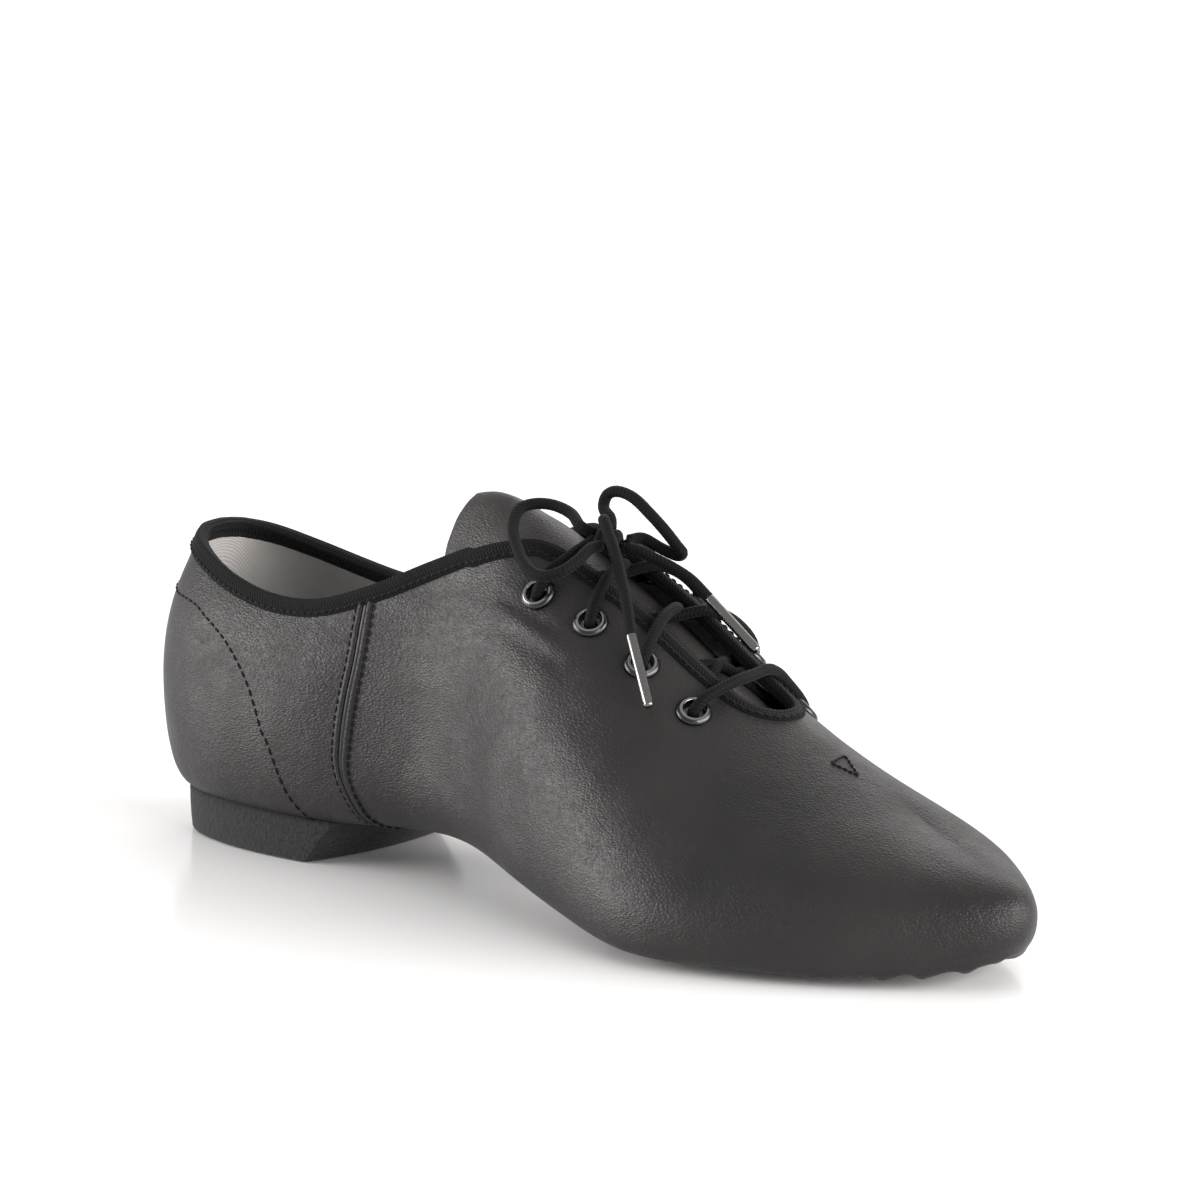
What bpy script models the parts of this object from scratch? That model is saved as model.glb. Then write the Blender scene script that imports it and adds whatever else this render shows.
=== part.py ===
"""A right jazz shoe: soft leather lace-up on a split sole with a low block heel.

Metres, +Z up, +X towards the toe, -Y on the outer (lateral) side.
The origin is the middle of the heel's resting face.
Run with: blender --background --python part.py
"""
import math

import bmesh
import bpy
import numpy as np
from mathutils import Matrix, Vector

# Driving sizes
LENGTH = 0.250            # back of the heel to the tip of the toe
BALL_WIDTH = 0.082        # widest plan width
INSTEP = 0.082            # height of the instep where the throat begins
HEEL_HEIGHT = 0.0105      # floor to the underside of the leather at the heel
WALL = 0.0014             # leather and lining together
GAP = 0.0003              # left between pieces that touch
HEEL_BACK = -0.034        # x of the back of the heel, seen from the origin

# Last: one row for each section, from the heel round the toe.
# x and crest_x are shares of LENGTH; lateral, medial, tuck and crest_y of BALL_WIDTH;
# belly and crest_z of INSTEP; the two feather heights of HEEL_HEIGHT.
# tuck is how far the feather line lies inside the belly, the widest line.
# rise and flat are the pulls of the profile at the belly and at the crest.
SECTION_COLUMNS = (
    "x", "lateral", "medial", "belly", "tuck", "feather_lat", "feather_med",
    "crest_x", "crest_y", "crest_z", "rise", "flat")
SECTIONS = (
    (0.000, 0.000, 0.000, 0.449, 0.091, 1.00, 1.00, 0.168, 0.000, 0.927, 0.88, 0.56),
    (0.020, 0.207, 0.207, 0.443, 0.093, 1.00, 1.00, 0.176, 0.000, 0.912, 0.80, 0.57),
    (0.080, 0.322, 0.324, 0.418, 0.096, 1.00, 1.00, 0.200, 0.000, 0.912, 0.62, 0.52),
    (0.168, 0.357, 0.356, 0.385, 0.098, 1.00, 1.00, 0.240, 0.000, 0.937, 0.49, 0.49),
    (0.272, 0.320, 0.349, 0.359, 0.104, 1.00, 1.02, 0.304, 0.000, 1.022, 0.46, 0.48),
    (0.380, 0.263, 0.354, 0.329, 0.115, 1.09, 1.36, 0.392, 0.009, 1.104, 0.51, 0.52),
    (0.488, 0.348, 0.429, 0.274, 0.111, 0.81, 1.02, 0.480, 0.034, 0.999, 0.57, 0.53),
    (0.592, 0.435, 0.500, 0.198, 0.090, 0.43, 0.46, 0.568, 0.065, 0.856, 0.51, 0.50),
    (0.688, 0.494, 0.490, 0.137, 0.068, 0.22, 0.22, 0.648, 0.087, 0.704, 0.41, 0.41),
    (0.776, 0.452, 0.461, 0.124, 0.061, 0.22, 0.22, 0.716, 0.107, 0.584, 0.40, 0.37),
    (0.856, 0.344, 0.415, 0.134, 0.062, 0.23, 0.23, 0.772, 0.118, 0.500, 0.48, 0.39),
    (0.920, 0.218, 0.334, 0.148, 0.070, 0.29, 0.31, 0.816, 0.121, 0.445, 0.56, 0.45),
    (0.972, 0.080, 0.202, 0.166, 0.080, 0.44, 0.48, 0.844, 0.121, 0.408, 0.60, 0.50),
    (1.000, -0.061, 0.061, 0.193, 0.093, 0.68, 0.68, 0.860, 0.120, 0.386, 0.62, 0.55),
)
TOE = len(SECTIONS) - 1   # loop position of the toe tip; the heel's back is 0
TURN = 2 * TOE            # loop positions in the whole outline

# Topline: distance from the heel's back, height of the edge of the leather
TOPLINE = (
    (-0.010, 0.0712), (0.005, 0.0700), (0.012, 0.0678), (0.020, 0.0654), (0.033, 0.0622),
    (0.048, 0.0603), (0.060, 0.0612), (0.075, 0.0663), (0.090, 0.0732), (0.104, 0.0790),
    (0.118, 0.0832), (0.140, 0.0900),
)
QUARTER_ROUND = 0.0045    # softening of the quarters' front corners
THROAT_TIP = 0.1770       # from the heel's back, on the crest
THROAT_ROUND = 0.0090     # length of the rounded end of the throat
THROAT_HALF = 0.0073      # half the gap between the facings
THROAT_FROM = 0.100       # the facings' gap is only looked for beyond this

# Lasting margin: shares of the way from the feather line to the middle underneath
MARGIN = 0.42
ARCH_MARGIN = 0.978       # nearly closed between the heel and the forefoot sole
ARCH_MIDDLE = 0.098       # from the heel's back
ARCH_REACH = 0.048

# Edge tape, seam tape, tongue, soles
TAPE = 0.0007
TAPE_SLACK = 0.0005       # room between the tape and the leather
TAPE_LEG = 0.0038
TAPE_LEG_AT_TIP = 0.0027
SEAM_POSITION = 4.22      # loop position of the quarter's side seam
SEAM_WIDTH = 0.0040
SEAM_TAPE = 0.0007
TONGUE = 0.0015
TONGUE_DEPTH = 0.0036     # from the skin of the upper to the tongue's face
TONGUE_LIFT = 0.0012      # how much nearer it comes above the collar
TONGUE_SPAN = (4.78, 10.3)  # loop positions of its free end and its sewn end
TONGUE_WING = 0.40        # how far round the instep it reaches, in profile units
INSOLE = 0.0020
SOLE = 0.0020
SOLE_INSET = 0.20         # share of the way from the feather line to the middle
SOLE_START = 6.55         # loop position where the forefoot sole begins
HEEL_OUTSET = 0.0018      # heel block beyond the feather line
HEEL_TAPER = 0.0005
BREAST = 0.0557           # from the heel's back, at the floor
BREAST_SLANT = 0.0080
BREAST_BULGE = 0.0030

# Eyelets and lace
EYELET_FIRST = 0.1235     # from the heel's back to the top pair
EYELET_PITCH = 0.0144
EYELET_ASIDE = 0.0176     # from the crest
EYELET_RIM = 0.0040
EYELET_HOLE = 0.0024
EYELET_BARREL = 0.0028
EYELET_METAL = 0.0007
EYELET_SLACK = 0.0005     # more room inside, where the faceted wall is deeper
LACE = 0.0026
BAR_LIFTS = (             # distance from the crest, middle of the lace above the skin
    (0.0, 0.0022), (0.004, 0.0030), (0.008, 0.0033), (0.020, 0.0038))
BAR_END = 0.0162          # a bar stops here, short of the eyelet's middle
BAR_LEAN = 2.2            # crossings lie near the lower pair of eyelets
ROOT = (0.1285, 0.0080)   # where the top laces end: from the heel's back, from the crest

COLOURS = {
    "leather": ((0.030, 0.029, 0.030), 0.55, 0.0),
    "lining": ((0.16, 0.155, 0.15), 0.85, 0.0),
    "tape": ((0.012, 0.012, 0.013), 0.80, 0.0),
    "patent": ((0.008, 0.008, 0.009), 0.30, 0.0),
    "rubber": ((0.022, 0.022, 0.023), 0.90, 0.0),
    "suede": ((0.035, 0.034, 0.034), 0.95, 0.0),
    "gunmetal": ((0.05, 0.05, 0.055), 0.25, 1.0),
    "lace": ((0.011, 0.011, 0.012), 0.75, 0.0),
    "aglet": ((0.16, 0.16, 0.165), 0.30, 1.0),
}


# The last

def section_knots():
    """Rows in loop order in metres: heel, outer side, toe, inner side."""
    order = list(range(TOE + 1)) + list(range(TOE - 1, 0, -1))
    knots = []
    for place, index in enumerate(order):
        row = dict(zip(SECTION_COLUMNS, SECTIONS[index]))
        outer = place <= TOE
        knots.append((
            row["x"] * LENGTH + HEEL_BACK,
            (-row["lateral"] if outer else row["medial"]) * BALL_WIDTH,
            row["belly"] * INSTEP,
            row["tuck"] * BALL_WIDTH,
            (row["feather_lat"] if outer else row["feather_med"]) * HEEL_HEIGHT,
            row["crest_x"] * LENGTH + HEEL_BACK,
            row["crest_y"] * BALL_WIDTH,
            row["crest_z"] * INSTEP,
            row["rise"],
            row["flat"],
        ))
    return np.array(knots)


def loop_slopes(knots):
    """Knot slopes that make the closed cubic curvature-continuous."""
    count = len(knots)
    step = np.roll(np.eye(count), 1, 0)
    matrix = 4 * np.eye(count) + step + step.T
    return np.linalg.solve(matrix, 3 * (np.roll(knots, -1, 0) - np.roll(knots, 1, 0)))


KNOTS = section_knots()
SLOPES = loop_slopes(KNOTS)


def row_at(s):
    """The section's values at loop position s."""
    s = s % TURN
    i = int(s)
    j = (i + 1) % TURN
    t = s - i
    ease = t * t * (3 - 2 * t)
    return (KNOTS[i] * (1 - ease) + KNOTS[j] * ease
            + SLOPES[i] * t * (1 - t) ** 2 - SLOPES[j] * t * t * (1 - t))


def outward(s):
    """Unit plan direction that points away from the foot at s."""
    along = row_at(s + 1e-3) - row_at(s - 1e-3)
    normal = np.array((along[1], -along[0], 0.0))
    return normal / np.linalg.norm(normal)


def crest_slope(s):
    """Fall of the crest for each metre forward."""
    m = s % TURN
    m = min(max(min(m, TURN - m), 0.4), TOE - 0.4)
    ahead, behind = row_at(m + 0.1), row_at(m - 0.1)
    return (ahead[7] - behind[7]) / (ahead[5] - behind[5])


def bezier(a, b, c, d, t):
    u = 1 - t
    return a * u ** 3 + 3 * b * u * u * t + 3 * c * u * t * t + d * t ** 3


def feather(s):
    """Point of the feather line, where the upper turns under the foot."""
    row = row_at(s)
    point = np.array((row[0], row[1], row[4])) - outward(s) * row[3]
    point[2] = row[4]
    return point


def feather_heights(sign):
    """Distance and height along one side of the feather line, from the heel to the toe."""
    line = [feather(sign * k / 4) for k in range(4 * TOE + 1)]
    return [p[0] for p in line], [p[2] for p in line]


OUTER_HEIGHTS = feather_heights(1)
INNER_HEIGHTS = feather_heights(-1)


def underside(x, across):
    """Height under the foot; across runs from -1 at the outer edge to 1 at the inner."""
    outer, inner = np.interp(x, *OUTER_HEIGHTS), np.interp(x, *INNER_HEIGHTS)
    return outer + (inner - outer) * (1 + across) / 2


def spine(s):
    """Middle of the underside, opposite the feather line at s."""
    x = row_at(s)[5]
    return np.array((x, (feather(s)[1] + feather(-s)[1]) / 2, underside(x, 0.0)))


def skin(s, v):
    """Outer face of the leather: v -1..0 under the foot, 0..1 to the belly, 1..2 to the crest."""
    if v < 0:
        edge = feather(s)
        point = edge + (spine(s) - edge) * -v
        side = -1 if s % TURN <= TOE else 1
        point[2] = underside(point[0], side * (1 + v))
        return point
    row = row_at(s)
    belly = np.array((row[0], row[1], row[2]))
    away = outward(s)
    if v <= 1:
        edge = feather(s)
        up = np.array((0.0, 0.0, (row[2] - row[4]) * 0.55))
        return bezier(edge, edge + away * row[3] * 0.75, belly - up, belly, v)
    crest = np.array((row[5], row[6], row[7]))
    across = belly - crest
    across[2] = 0.0
    reach = np.linalg.norm(across)
    aside = across / reach
    aside[2] = crest_slope(s) * aside[0]
    lift = np.array((0.0, 0.0, row[8] * (row[7] - row[2])))
    return bezier(belly, belly + lift, crest + aside * reach * row[9], crest, v - 1)


def skin_normal(s, v):
    if v > 1.995:
        slope = crest_slope(s)
        normal = np.array((-slope, 0.0, 1.0))
        return normal / np.linalg.norm(normal)
    ds = skin(s + 0.01, v) - skin(s - 0.01, v)
    low, high = v - 0.01, min(v + 0.01, 2.0)
    normal = np.cross(ds, skin(s, high) - skin(s, low))
    return normal / np.linalg.norm(normal)


def inside(s, v, depth):
    """Point this far below the outer face; a negative depth stands proud."""
    return skin(s, v) - skin_normal(s, v) * depth


def walk(s, v, move):
    """Follow the skin by a short vector and return the new s and v."""
    for _ in range(4):
        ds = (skin(s + 0.01, v) - skin(s - 0.01, v)) / 0.02
        low, high = v - 0.01, min(v + 0.01, 2.0)
        dv = (skin(s, high) - skin(s, low)) / (high - low)
        step = np.linalg.lstsq(np.stack((ds, dv), 1), move / 4, rcond=None)[0]
        s, v = s + step[0], v + step[1]
        if v > 2.0:
            s, v = TURN - s, 4.0 - v
    return s % TURN, v


def spot(x_from_back, aside, outer=True):
    """s and v of the skin point at this distance from the heel's back and from the crest."""
    s = next(k / 10 for k in range(10, 10 * TOE) if row_at(k / 10)[5] - HEEL_BACK > x_from_back)
    s, v = (s if outer else TURN - s), 1.8
    sign = -1 if outer else 1
    for _ in range(30):
        here = skin(s, v)
        wanted = np.array((x_from_back + HEEL_BACK, crest_line(x_from_back) + sign * aside))
        miss = wanted - here[:2]
        ds = (skin(s + 0.01, v) - skin(s - 0.01, v))[:2] / 0.02
        low, high = v - 0.01, min(v + 0.01, 2.0)
        dv = (skin(s, high) - skin(s, low))[:2] / (high - low)
        step = np.linalg.lstsq(np.stack((ds, dv), 1), miss * 0.7, rcond=None)[0]
        s, v = s + step[0], min(v + step[1], 2.0)
    return s, v


# Cut lines

def smooth_table(x, table):
    """Smooth curve through a table's first two columns."""
    xs = [row[0] for row in table]
    ys = [row[1] for row in table]
    slopes = np.gradient(ys, xs)
    x = min(max(x, xs[0]), xs[-1])
    i = max(k for k in range(len(xs) - 1) if xs[k] <= x)
    h = xs[i + 1] - xs[i]
    t = (x - xs[i]) / h
    u = 1 - t
    return (ys[i] * (1 + 2 * t) * u * u + ys[i + 1] * t * t * (3 - 2 * t)
            + h * (slopes[i] * t * u * u - slopes[i + 1] * t * t * u))


def crest_line(x_from_back):
    """Sideways place of the crest at this distance from the heel's back."""
    table = [(r[7] * LENGTH, r[8] * BALL_WIDTH) for r in SECTIONS]
    return smooth_table(x_from_back, table)


def throat_half(x_from_back):
    """Half the gap between the facings, with its rounded end."""
    if not THROAT_FROM < x_from_back < THROAT_TIP:
        return -0.03
    t = min((THROAT_TIP - x_from_back) / THROAT_ROUND, 1.0)
    return THROAT_HALF * math.sqrt(1 - (1 - t) ** 2)


def cut_away(s, v):
    """Above zero where the topline or the throat takes the leather away."""
    p = skin(s, v)
    x = p[0] - HEEL_BACK
    over = p[2] - smooth_table(x, TOPLINE)
    within = throat_half(x) - abs(p[1] - crest_line(x))
    return (over + within + math.hypot(over - within, QUARTER_ROUND)) / 2


def top_edge(s):
    """Profile position where the leather ends; 2 where both sides meet on the crest."""
    steps = 40
    for k in range(1, steps + 1):
        high = 1 + k / steps
        if cut_away(s, high) > 0:
            low = high - 1 / steps
            for _ in range(24):
                mid = (low + high) / 2
                low, high = (low, mid) if cut_away(s, mid) > 0 else (mid, high)
            return low
    return 2.0


def tip_position():
    """Loop position whose crest point is the throat's tip."""
    low, high = 1.0, float(TOE)
    for _ in range(40):
        mid = (low + high) / 2
        if row_at(mid)[5] - HEEL_BACK < THROAT_TIP:
            low = mid
        else:
            high = mid
    return low


TIP = tip_position()


def columns():
    """Loop positions of the grid: closer at the heel, quarter corners, throat tip and toe."""
    half = [k * 0.25 for k in range(8)] + [2 + k * 0.5 for k in range(7)]
    half += [5.3, 5.55, 5.75, 5.95, 6.2, 6.5, 7.0, 7.5, 8.0]
    half += [TIP - d for d in (0.40, 0.28, 0.18, 0.10, 0.04, 0.0)]
    half += [TIP + 0.35, 9.75, 10.25, 10.75, 11.25, 11.6, 12.0, 12.33, 12.66]
    other = [TURN - s for s in reversed(half) if s > 0]
    return half + [float(TOE)] + other


COLUMNS = columns()


# Mesh helpers

def material(name):
    """The named finish, made on first use."""
    known = bpy.data.materials.get(name)
    if known:
        return known
    colour, roughness, metallic = COLOURS[name]
    mat = bpy.data.materials.new(name)
    mat.use_nodes = True
    shader = mat.node_tree.nodes["Principled BSDF"]
    shader.inputs["Base Color"].default_value = (*colour, 1.0)
    shader.inputs["Roughness"].default_value = roughness
    shader.inputs["Metallic"].default_value = metallic
    mat.diffuse_color = (*colour, 1.0)
    return mat


def collection(name, hidden=False):
    made = bpy.data.collections.new(name)
    bpy.context.scene.collection.children.link(made)
    made.hide_render = hidden
    return made


def add_object(name, data, finish, into):
    data.materials.append(material(finish))
    obj = bpy.data.objects.new(name, data)
    into.objects.link(obj)
    return obj


def mesh_object(name, points, faces, finish, into):
    """Closed mesh from points and faces, with seams merged and normals outward."""
    bm = bmesh.new()
    verts = [bm.verts.new(tuple(p)) for p in points]
    for face in faces:
        corners = [verts[k] for k in face]
        if len(set(corners)) > 2:
            bm.faces.new(corners)
    bmesh.ops.remove_doubles(bm, verts=bm.verts, dist=2e-6)
    bmesh.ops.recalc_face_normals(bm, faces=bm.faces)
    mesh = bpy.data.meshes.new(name)
    bm.to_mesh(mesh)
    bm.free()
    obj = add_object(name, mesh, finish, into)
    for polygon in mesh.polygons:
        polygon.use_smooth = True
    return obj


def ring_loft(rings, closed, caps=False):
    """Points and faces that join rings of equal length; closed joins the last to the first."""
    size = len(rings[0])
    points = [p for ring in rings for p in ring]
    faces = []
    spans = len(rings) if closed else len(rings) - 1
    for i in range(spans):
        a, b = i * size, ((i + 1) % len(rings)) * size
        for k in range(size):
            n = (k + 1) % size
            faces.append((a + k, a + n, b + n, b + k))
    if caps:
        faces.append(tuple(range(size)))
        faces.append(tuple(range(len(points) - size, len(points))))
    return points, faces


def sheet_solid(name, grid_top, grid_low, wrap, finish, into):
    """Thin solid between two point grids of equal size; wrap joins the last column to the first."""
    cols, rows = len(grid_top), len(grid_top[0])
    points = [p for col in grid_top for p in col] + [p for col in grid_low for p in col]
    low = cols * rows
    faces = []
    for i in range(cols if wrap else cols - 1):
        a, b = i * rows, ((i + 1) % cols) * rows
        for k in range(rows - 1):
            faces.append((a + k, b + k, b + k + 1, a + k + 1))
            faces.append((low + a + k, low + a + k + 1, low + b + k + 1, low + b + k))
        for k in (0, rows - 1):
            faces.append((a + k, b + k, low + b + k, low + a + k))
    if not wrap:
        for a in (0, (cols - 1) * rows):
            for k in range(rows - 1):
                faces.append((a + k, a + k + 1, low + a + k + 1, low + a + k))
    return mesh_object(name, points, faces, finish, into)


def cutter(name, mesh, into):
    obj = bpy.data.objects.new(name, mesh)
    into.objects.link(obj)
    obj.display_type = "WIRE"
    obj.hide_render = True
    return obj


def boolean(obj, tool, operation):
    mod = obj.modifiers.new(tool.name, "BOOLEAN")
    mod.object = tool
    mod.operation = operation
    mod.solver = "EXACT"
    return mod


# Upper

def margin_end(s):
    """How far the lasting margin runs towards the middle: all the way under the arch."""
    x = row_at(s)[5] - HEEL_BACK
    arch = math.exp(-((x - ARCH_MIDDLE) / ARCH_REACH) ** 8)
    return MARGIN + (ARCH_MARGIN - MARGIN) * arch


def profile_steps(s, top):
    """Profile positions from the margin's end, round the feather line, to the top edge."""
    under = [-margin_end(s) * k for k in (1.0, 0.5)]
    side = [0.0, 0.3, 0.6, 1.0]
    return under + side + [1 + (top - 1) * k / 6 for k in range(1, 7)]


def upper_grids():
    tops = {s: (top_edge(s) if min(s, TURN - s) < TIP - 1e-6 else 2.0) for s in COLUMNS}
    outer, inner = [], []
    for s in COLUMNS:
        steps = profile_steps(s, tops[s])
        outer.append([inside(s, v, 0.0) for v in steps])
        inner.append([inside(s, v, WALL) for v in steps])
    return outer, inner


def build_upper(into, cutters):
    """One hollow wall: closed at the vamp, open at collar, throat and underneath."""
    outer, inner = upper_grids()
    cols, rows = len(outer), len(outer[0])
    points = [p for col in outer for p in col] + [p for col in inner for p in col]
    low = cols * rows
    faces = []
    for i, s in enumerate(COLUMNS):
        n = (i + 1) % cols
        a, b = i * rows, n * rows
        for k in range(rows - 1):
            faces.append((a + k, b + k, b + k + 1, a + k + 1))
            faces.append((low + a + k, low + a + k + 1, low + b + k + 1, low + b + k))
        faces.append((a, b, low + b, low + a))
        after = COLUMNS[n] if n else TURN
        if min(s, TURN - s, after, TURN - after) < TIP - 1e-6:
            k = rows - 1
            faces.append((a + k, b + k, low + b + k, low + a + k))
    upper = mesh_object("upper", points, faces, "leather", into)
    for outer_side in (True, False):
        for index in range(4):
            place, frame = eyelet_frame(index, outer_side)
            tool_mesh = bpy.data.meshes.new("eyelet_cut")
            bm = bmesh.new()
            bmesh.ops.create_cone(
                bm, cap_ends=True, segments=12, depth=0.008,
                radius1=EYELET_BARREL + GAP, radius2=EYELET_BARREL + GAP)
            bm.to_mesh(tool_mesh)
            bm.free()
            side = "lateral" if outer_side else "medial"
            tool = cutter(f"eyelet_cut_{side}_{index + 1}", tool_mesh, cutters)
            tool.matrix_world = frame
            boolean(upper, tool, "DIFFERENCE")
    return upper


# Edge tape

def rim_positions():
    """Loop positions round the opening: outer side forward, inner side back."""
    outer = [s for s in COLUMNS if s < TIP - 1e-6]
    inner = [s for s in COLUMNS if s > TURN - TIP + 1e-6]
    rim = [(s, top_edge(s)) for s in outer]
    rim.append((TIP, 2.0))
    rim += [(s, top_edge(s)) for s in inner]
    return rim


def rim_leg(x_from_back):
    """Visible width of the edge tape, narrower round the throat's tip."""
    t = min(max((x_from_back - 0.160) / 0.015, 0.0), 1.0)
    return TAPE_LEG + (TAPE_LEG_AT_TIP - TAPE_LEG) * t


def build_binding(into):
    """Folded tape over the edge of the leather, round the collar and the throat."""
    rim = rim_positions()
    edge = [skin(s, v) for s, v in rim]
    rings = []
    for k, (s, v) in enumerate(rim):
        normal = skin_normal(s, v)
        along = edge[(k + 1) % len(edge)] - edge[k - 1]
        out = np.cross(normal, along)
        out /= np.linalg.norm(out)
        leg = rim_leg(edge[k][0] - HEEL_BACK)
        marks = [walk(s, v, -out * leg * share) for share in (1.0, 0.5)]
        front, back = -TAPE_SLACK, WALL + TAPE_SLACK
        face = [inside(a, b, front - TAPE) for a, b in marks]
        lining = [inside(a, b, back + TAPE) for a, b in reversed(marks)]
        lining_in = [inside(a, b, back) for a, b in marks]
        face_in = [inside(a, b, front) for a, b in reversed(marks)]
        near, far = edge[k] + out * TAPE_SLACK, edge[k] + out * (TAPE_SLACK + TAPE)
        rings.append(
            face
            + [far - normal * (front - TAPE * 0.4), far - normal * (back + TAPE * 0.4)]
            + lining + lining_in
            + [near - normal * back, near - normal * front]
            + face_in)
    points, faces = ring_loft(rings, closed=True)
    return mesh_object("topline_binding", points, faces, "tape", into)


def build_seam_tape(name, outer_side, into):
    """Raised strip over the side seam, from the edge tape down to the feather line."""
    s0 = SEAM_POSITION if outer_side else TURN - SEAM_POSITION
    top = top_edge(s0)
    clear = walk(s0, top, np.array((0.0, 0.0, -(TAPE_LEG + 0.0018))))[1]
    steps = [0.12 + (clear - 0.12) * k / 14 for k in range(15)]
    front, back = [], []
    for v in steps:
        along = (skin(s0 + 0.02, v) - skin(s0 - 0.02, v)) / 0.04
        half = SEAM_WIDTH / 2 / np.linalg.norm(along)
        marks = [s0 + half * share for share in (-1.0, 0.0, 1.0)]
        front.append([inside(s, v, -(GAP + SEAM_TAPE)) for s in marks])
        back.append([inside(s, v, -GAP) for s in marks])
    return sheet_solid(name, front, back, False, "patent", into)


# Tongue and insole

def tongue_wing(s):
    """Profile position of the tongue's side edge, rounded at its free end."""
    start, end = TONGUE_SPAN
    t = min(max((s - start) / 0.65, 0.03), 1.0)
    taper = 1 - 0.45 * max(0.0, (s - 8.0) / (end - 8.0))
    return 2 - TONGUE_WING * taper * math.sqrt(1 - (1 - t) ** 2.4)


def build_tongue(into):
    """Curved leather sheet under the lacing, from the vamp to above the collar."""
    start, end = TONGUE_SPAN
    marks = [start, start + 0.03, start + 0.10, start + 0.22, start + 0.40]
    marks += [s for s in COLUMNS if start + 0.5 < s < end]
    shares = (0.0, 0.33, 0.67, 1.0)
    faces_top, faces_low = [], []
    for s in marks:
        wing = tongue_wing(s)
        lift = TONGUE_LIFT * min(max((5.4 - s) / 0.5, 0.0), 1.0)
        top, low = [], []
        for outer_side in (True, False):
            here = s if outer_side else TURN - s
            for share in shares if outer_side else reversed(shares[:-1]):
                v = wing + (2 - wing) * share
                depth = TONGUE_DEPTH - lift * share
                top.append(inside(here, v, depth))
                low.append(inside(here, v, depth + TONGUE))
        faces_top.append(top)
        faces_low.append(low)
    return sheet_solid("tongue", faces_top, faces_low, False, "leather", into)


def build_insole(into):
    """Thin board that lies inside on the lasting margin."""
    shares = (0.02, MARGIN, 1.0)
    top, low = [], []
    for s in COLUMNS:
        base = [skin(s, -share) + np.array((0.0, 0.0, WALL + GAP)) for share in shares]
        low.append(base)
        top.append([p + np.array((0.0, 0.0, INSOLE)) for p in base])
    return board_solid("insole", top, low, "lining", into)


def board_solid(name, top, low, finish, into):
    """Solid between two grids whose last points meet along the shoe's middle line."""
    cols, rows = len(top), len(top[0])
    points = [p for col in top for p in col] + [p for col in low for p in col]
    base = cols * rows
    faces = []
    for i in range(cols):
        n = (i + 1) % cols
        a, b = i * rows, n * rows
        for k in range(rows - 1):
            faces.append((a + k, b + k, b + k + 1, a + k + 1))
            faces.append((base + a + k, base + a + k + 1, base + b + k + 1, base + b + k))
        faces.append((a, b, base + b, base + a))
    return mesh_object(name, points, faces, finish, into)


# Soles

def sole_edge(s):
    """Share of the way to the middle where the forefoot sole's edge lies."""
    m = min(s, TURN - s)
    t = min(max((m - SOLE_START) / 1.4, 0.0), 1.0)
    return 1 - (1 - SOLE_INSET) * math.sqrt(1 - (1 - t) ** 2)


def build_forefoot_sole(into):
    """Thin sole patch under the ball and toes, flat where it meets the floor."""
    marks = [SOLE_START, SOLE_START + 0.06, SOLE_START + 0.2]
    marks += [s for s in COLUMNS if SOLE_START + 0.4 < s < TURN - SOLE_START - 0.4]
    marks += [TURN - SOLE_START - 0.2, TURN - SOLE_START - 0.06]
    top, low = [], []
    for s in marks:
        edge = sole_edge(s)
        face = []
        for share in (edge, max(MARGIN, (1 + edge) / 2), 0.75 + edge / 4, 1.0):
            face.append(skin(s, -share) - np.array((0.0, 0.0, GAP)))
        top.append(face)
        under = [p - np.array((0.0, 0.0, SOLE)) for p in face]
        low.append([np.array((p[0], p[1], 0.0 if p[2] < 0.00018 else p[2])) for p in under])
    return board_solid("forefoot_sole", top, low, "suede", into)


def heel_ring(height, breast, outset):
    """Plan outline of the heel block at one height, breast included."""
    reach = {}
    for sign in (1, -1):
        low, high = 0.5, 6.0
        for _ in range(40):
            mid = (low + high) / 2
            s = mid * sign % TURN
            low, high = (mid, high) if feather(s)[0] - HEEL_BACK < breast else (low, mid)
        reach[sign] = low
    count = 12
    marks = [-reach[-1] * (1 - k / count) for k in range(count)]
    marks += [reach[1] * k / count for k in range(count + 1)]
    ring = []
    for mark in marks:
        point = feather(mark % TURN) + outward(mark % TURN) * outset
        ring.append(np.array((point[0], point[1], height)))
    start, end = ring[-1], ring[0]
    for k in range(1, 6):
        t = k / 6
        bulge = BREAST_BULGE * 4 * t * (1 - t)
        point = start + (end - start) * t
        ring.append(np.array((point[0] + bulge, point[1], height)))
    return ring


def build_heel(into):
    """Low rubber block with a slanted, slightly rounded breast."""
    top = HEEL_HEIGHT - GAP
    bevel = 0.0005
    levels = (
        (0.0, BREAST - bevel, HEEL_OUTSET - HEEL_TAPER - bevel),
        (bevel, BREAST, HEEL_OUTSET - HEEL_TAPER),
        (top * 0.55, BREAST + BREAST_SLANT * 0.5, HEEL_OUTSET - HEEL_TAPER * 0.5),
        (top, BREAST + BREAST_SLANT, HEEL_OUTSET),
    )
    rings = [heel_ring(*level) for level in levels]
    points, faces = ring_loft(rings, closed=False, caps=True)
    return mesh_object("heel", points, faces, "rubber", into)


# Eyelets

def eyelet_frame(index, outer_side):
    """Middle of an eyelet on the leather and its frame, z pointing out of the shoe."""
    s, v = spot(EYELET_FIRST + EYELET_PITCH * index, EYELET_ASIDE, outer_side)
    place = Vector(skin(s, v))
    normal = Vector(skin_normal(s, v))
    forward = Vector(skin(s + 0.01, v) - skin(s - 0.01, v)).normalized()
    aside = normal.cross(forward).normalized()
    forward = aside.cross(normal).normalized()
    frame = Matrix((forward, aside, normal)).transposed().to_4x4()
    frame.translation = place
    return place, frame


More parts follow.
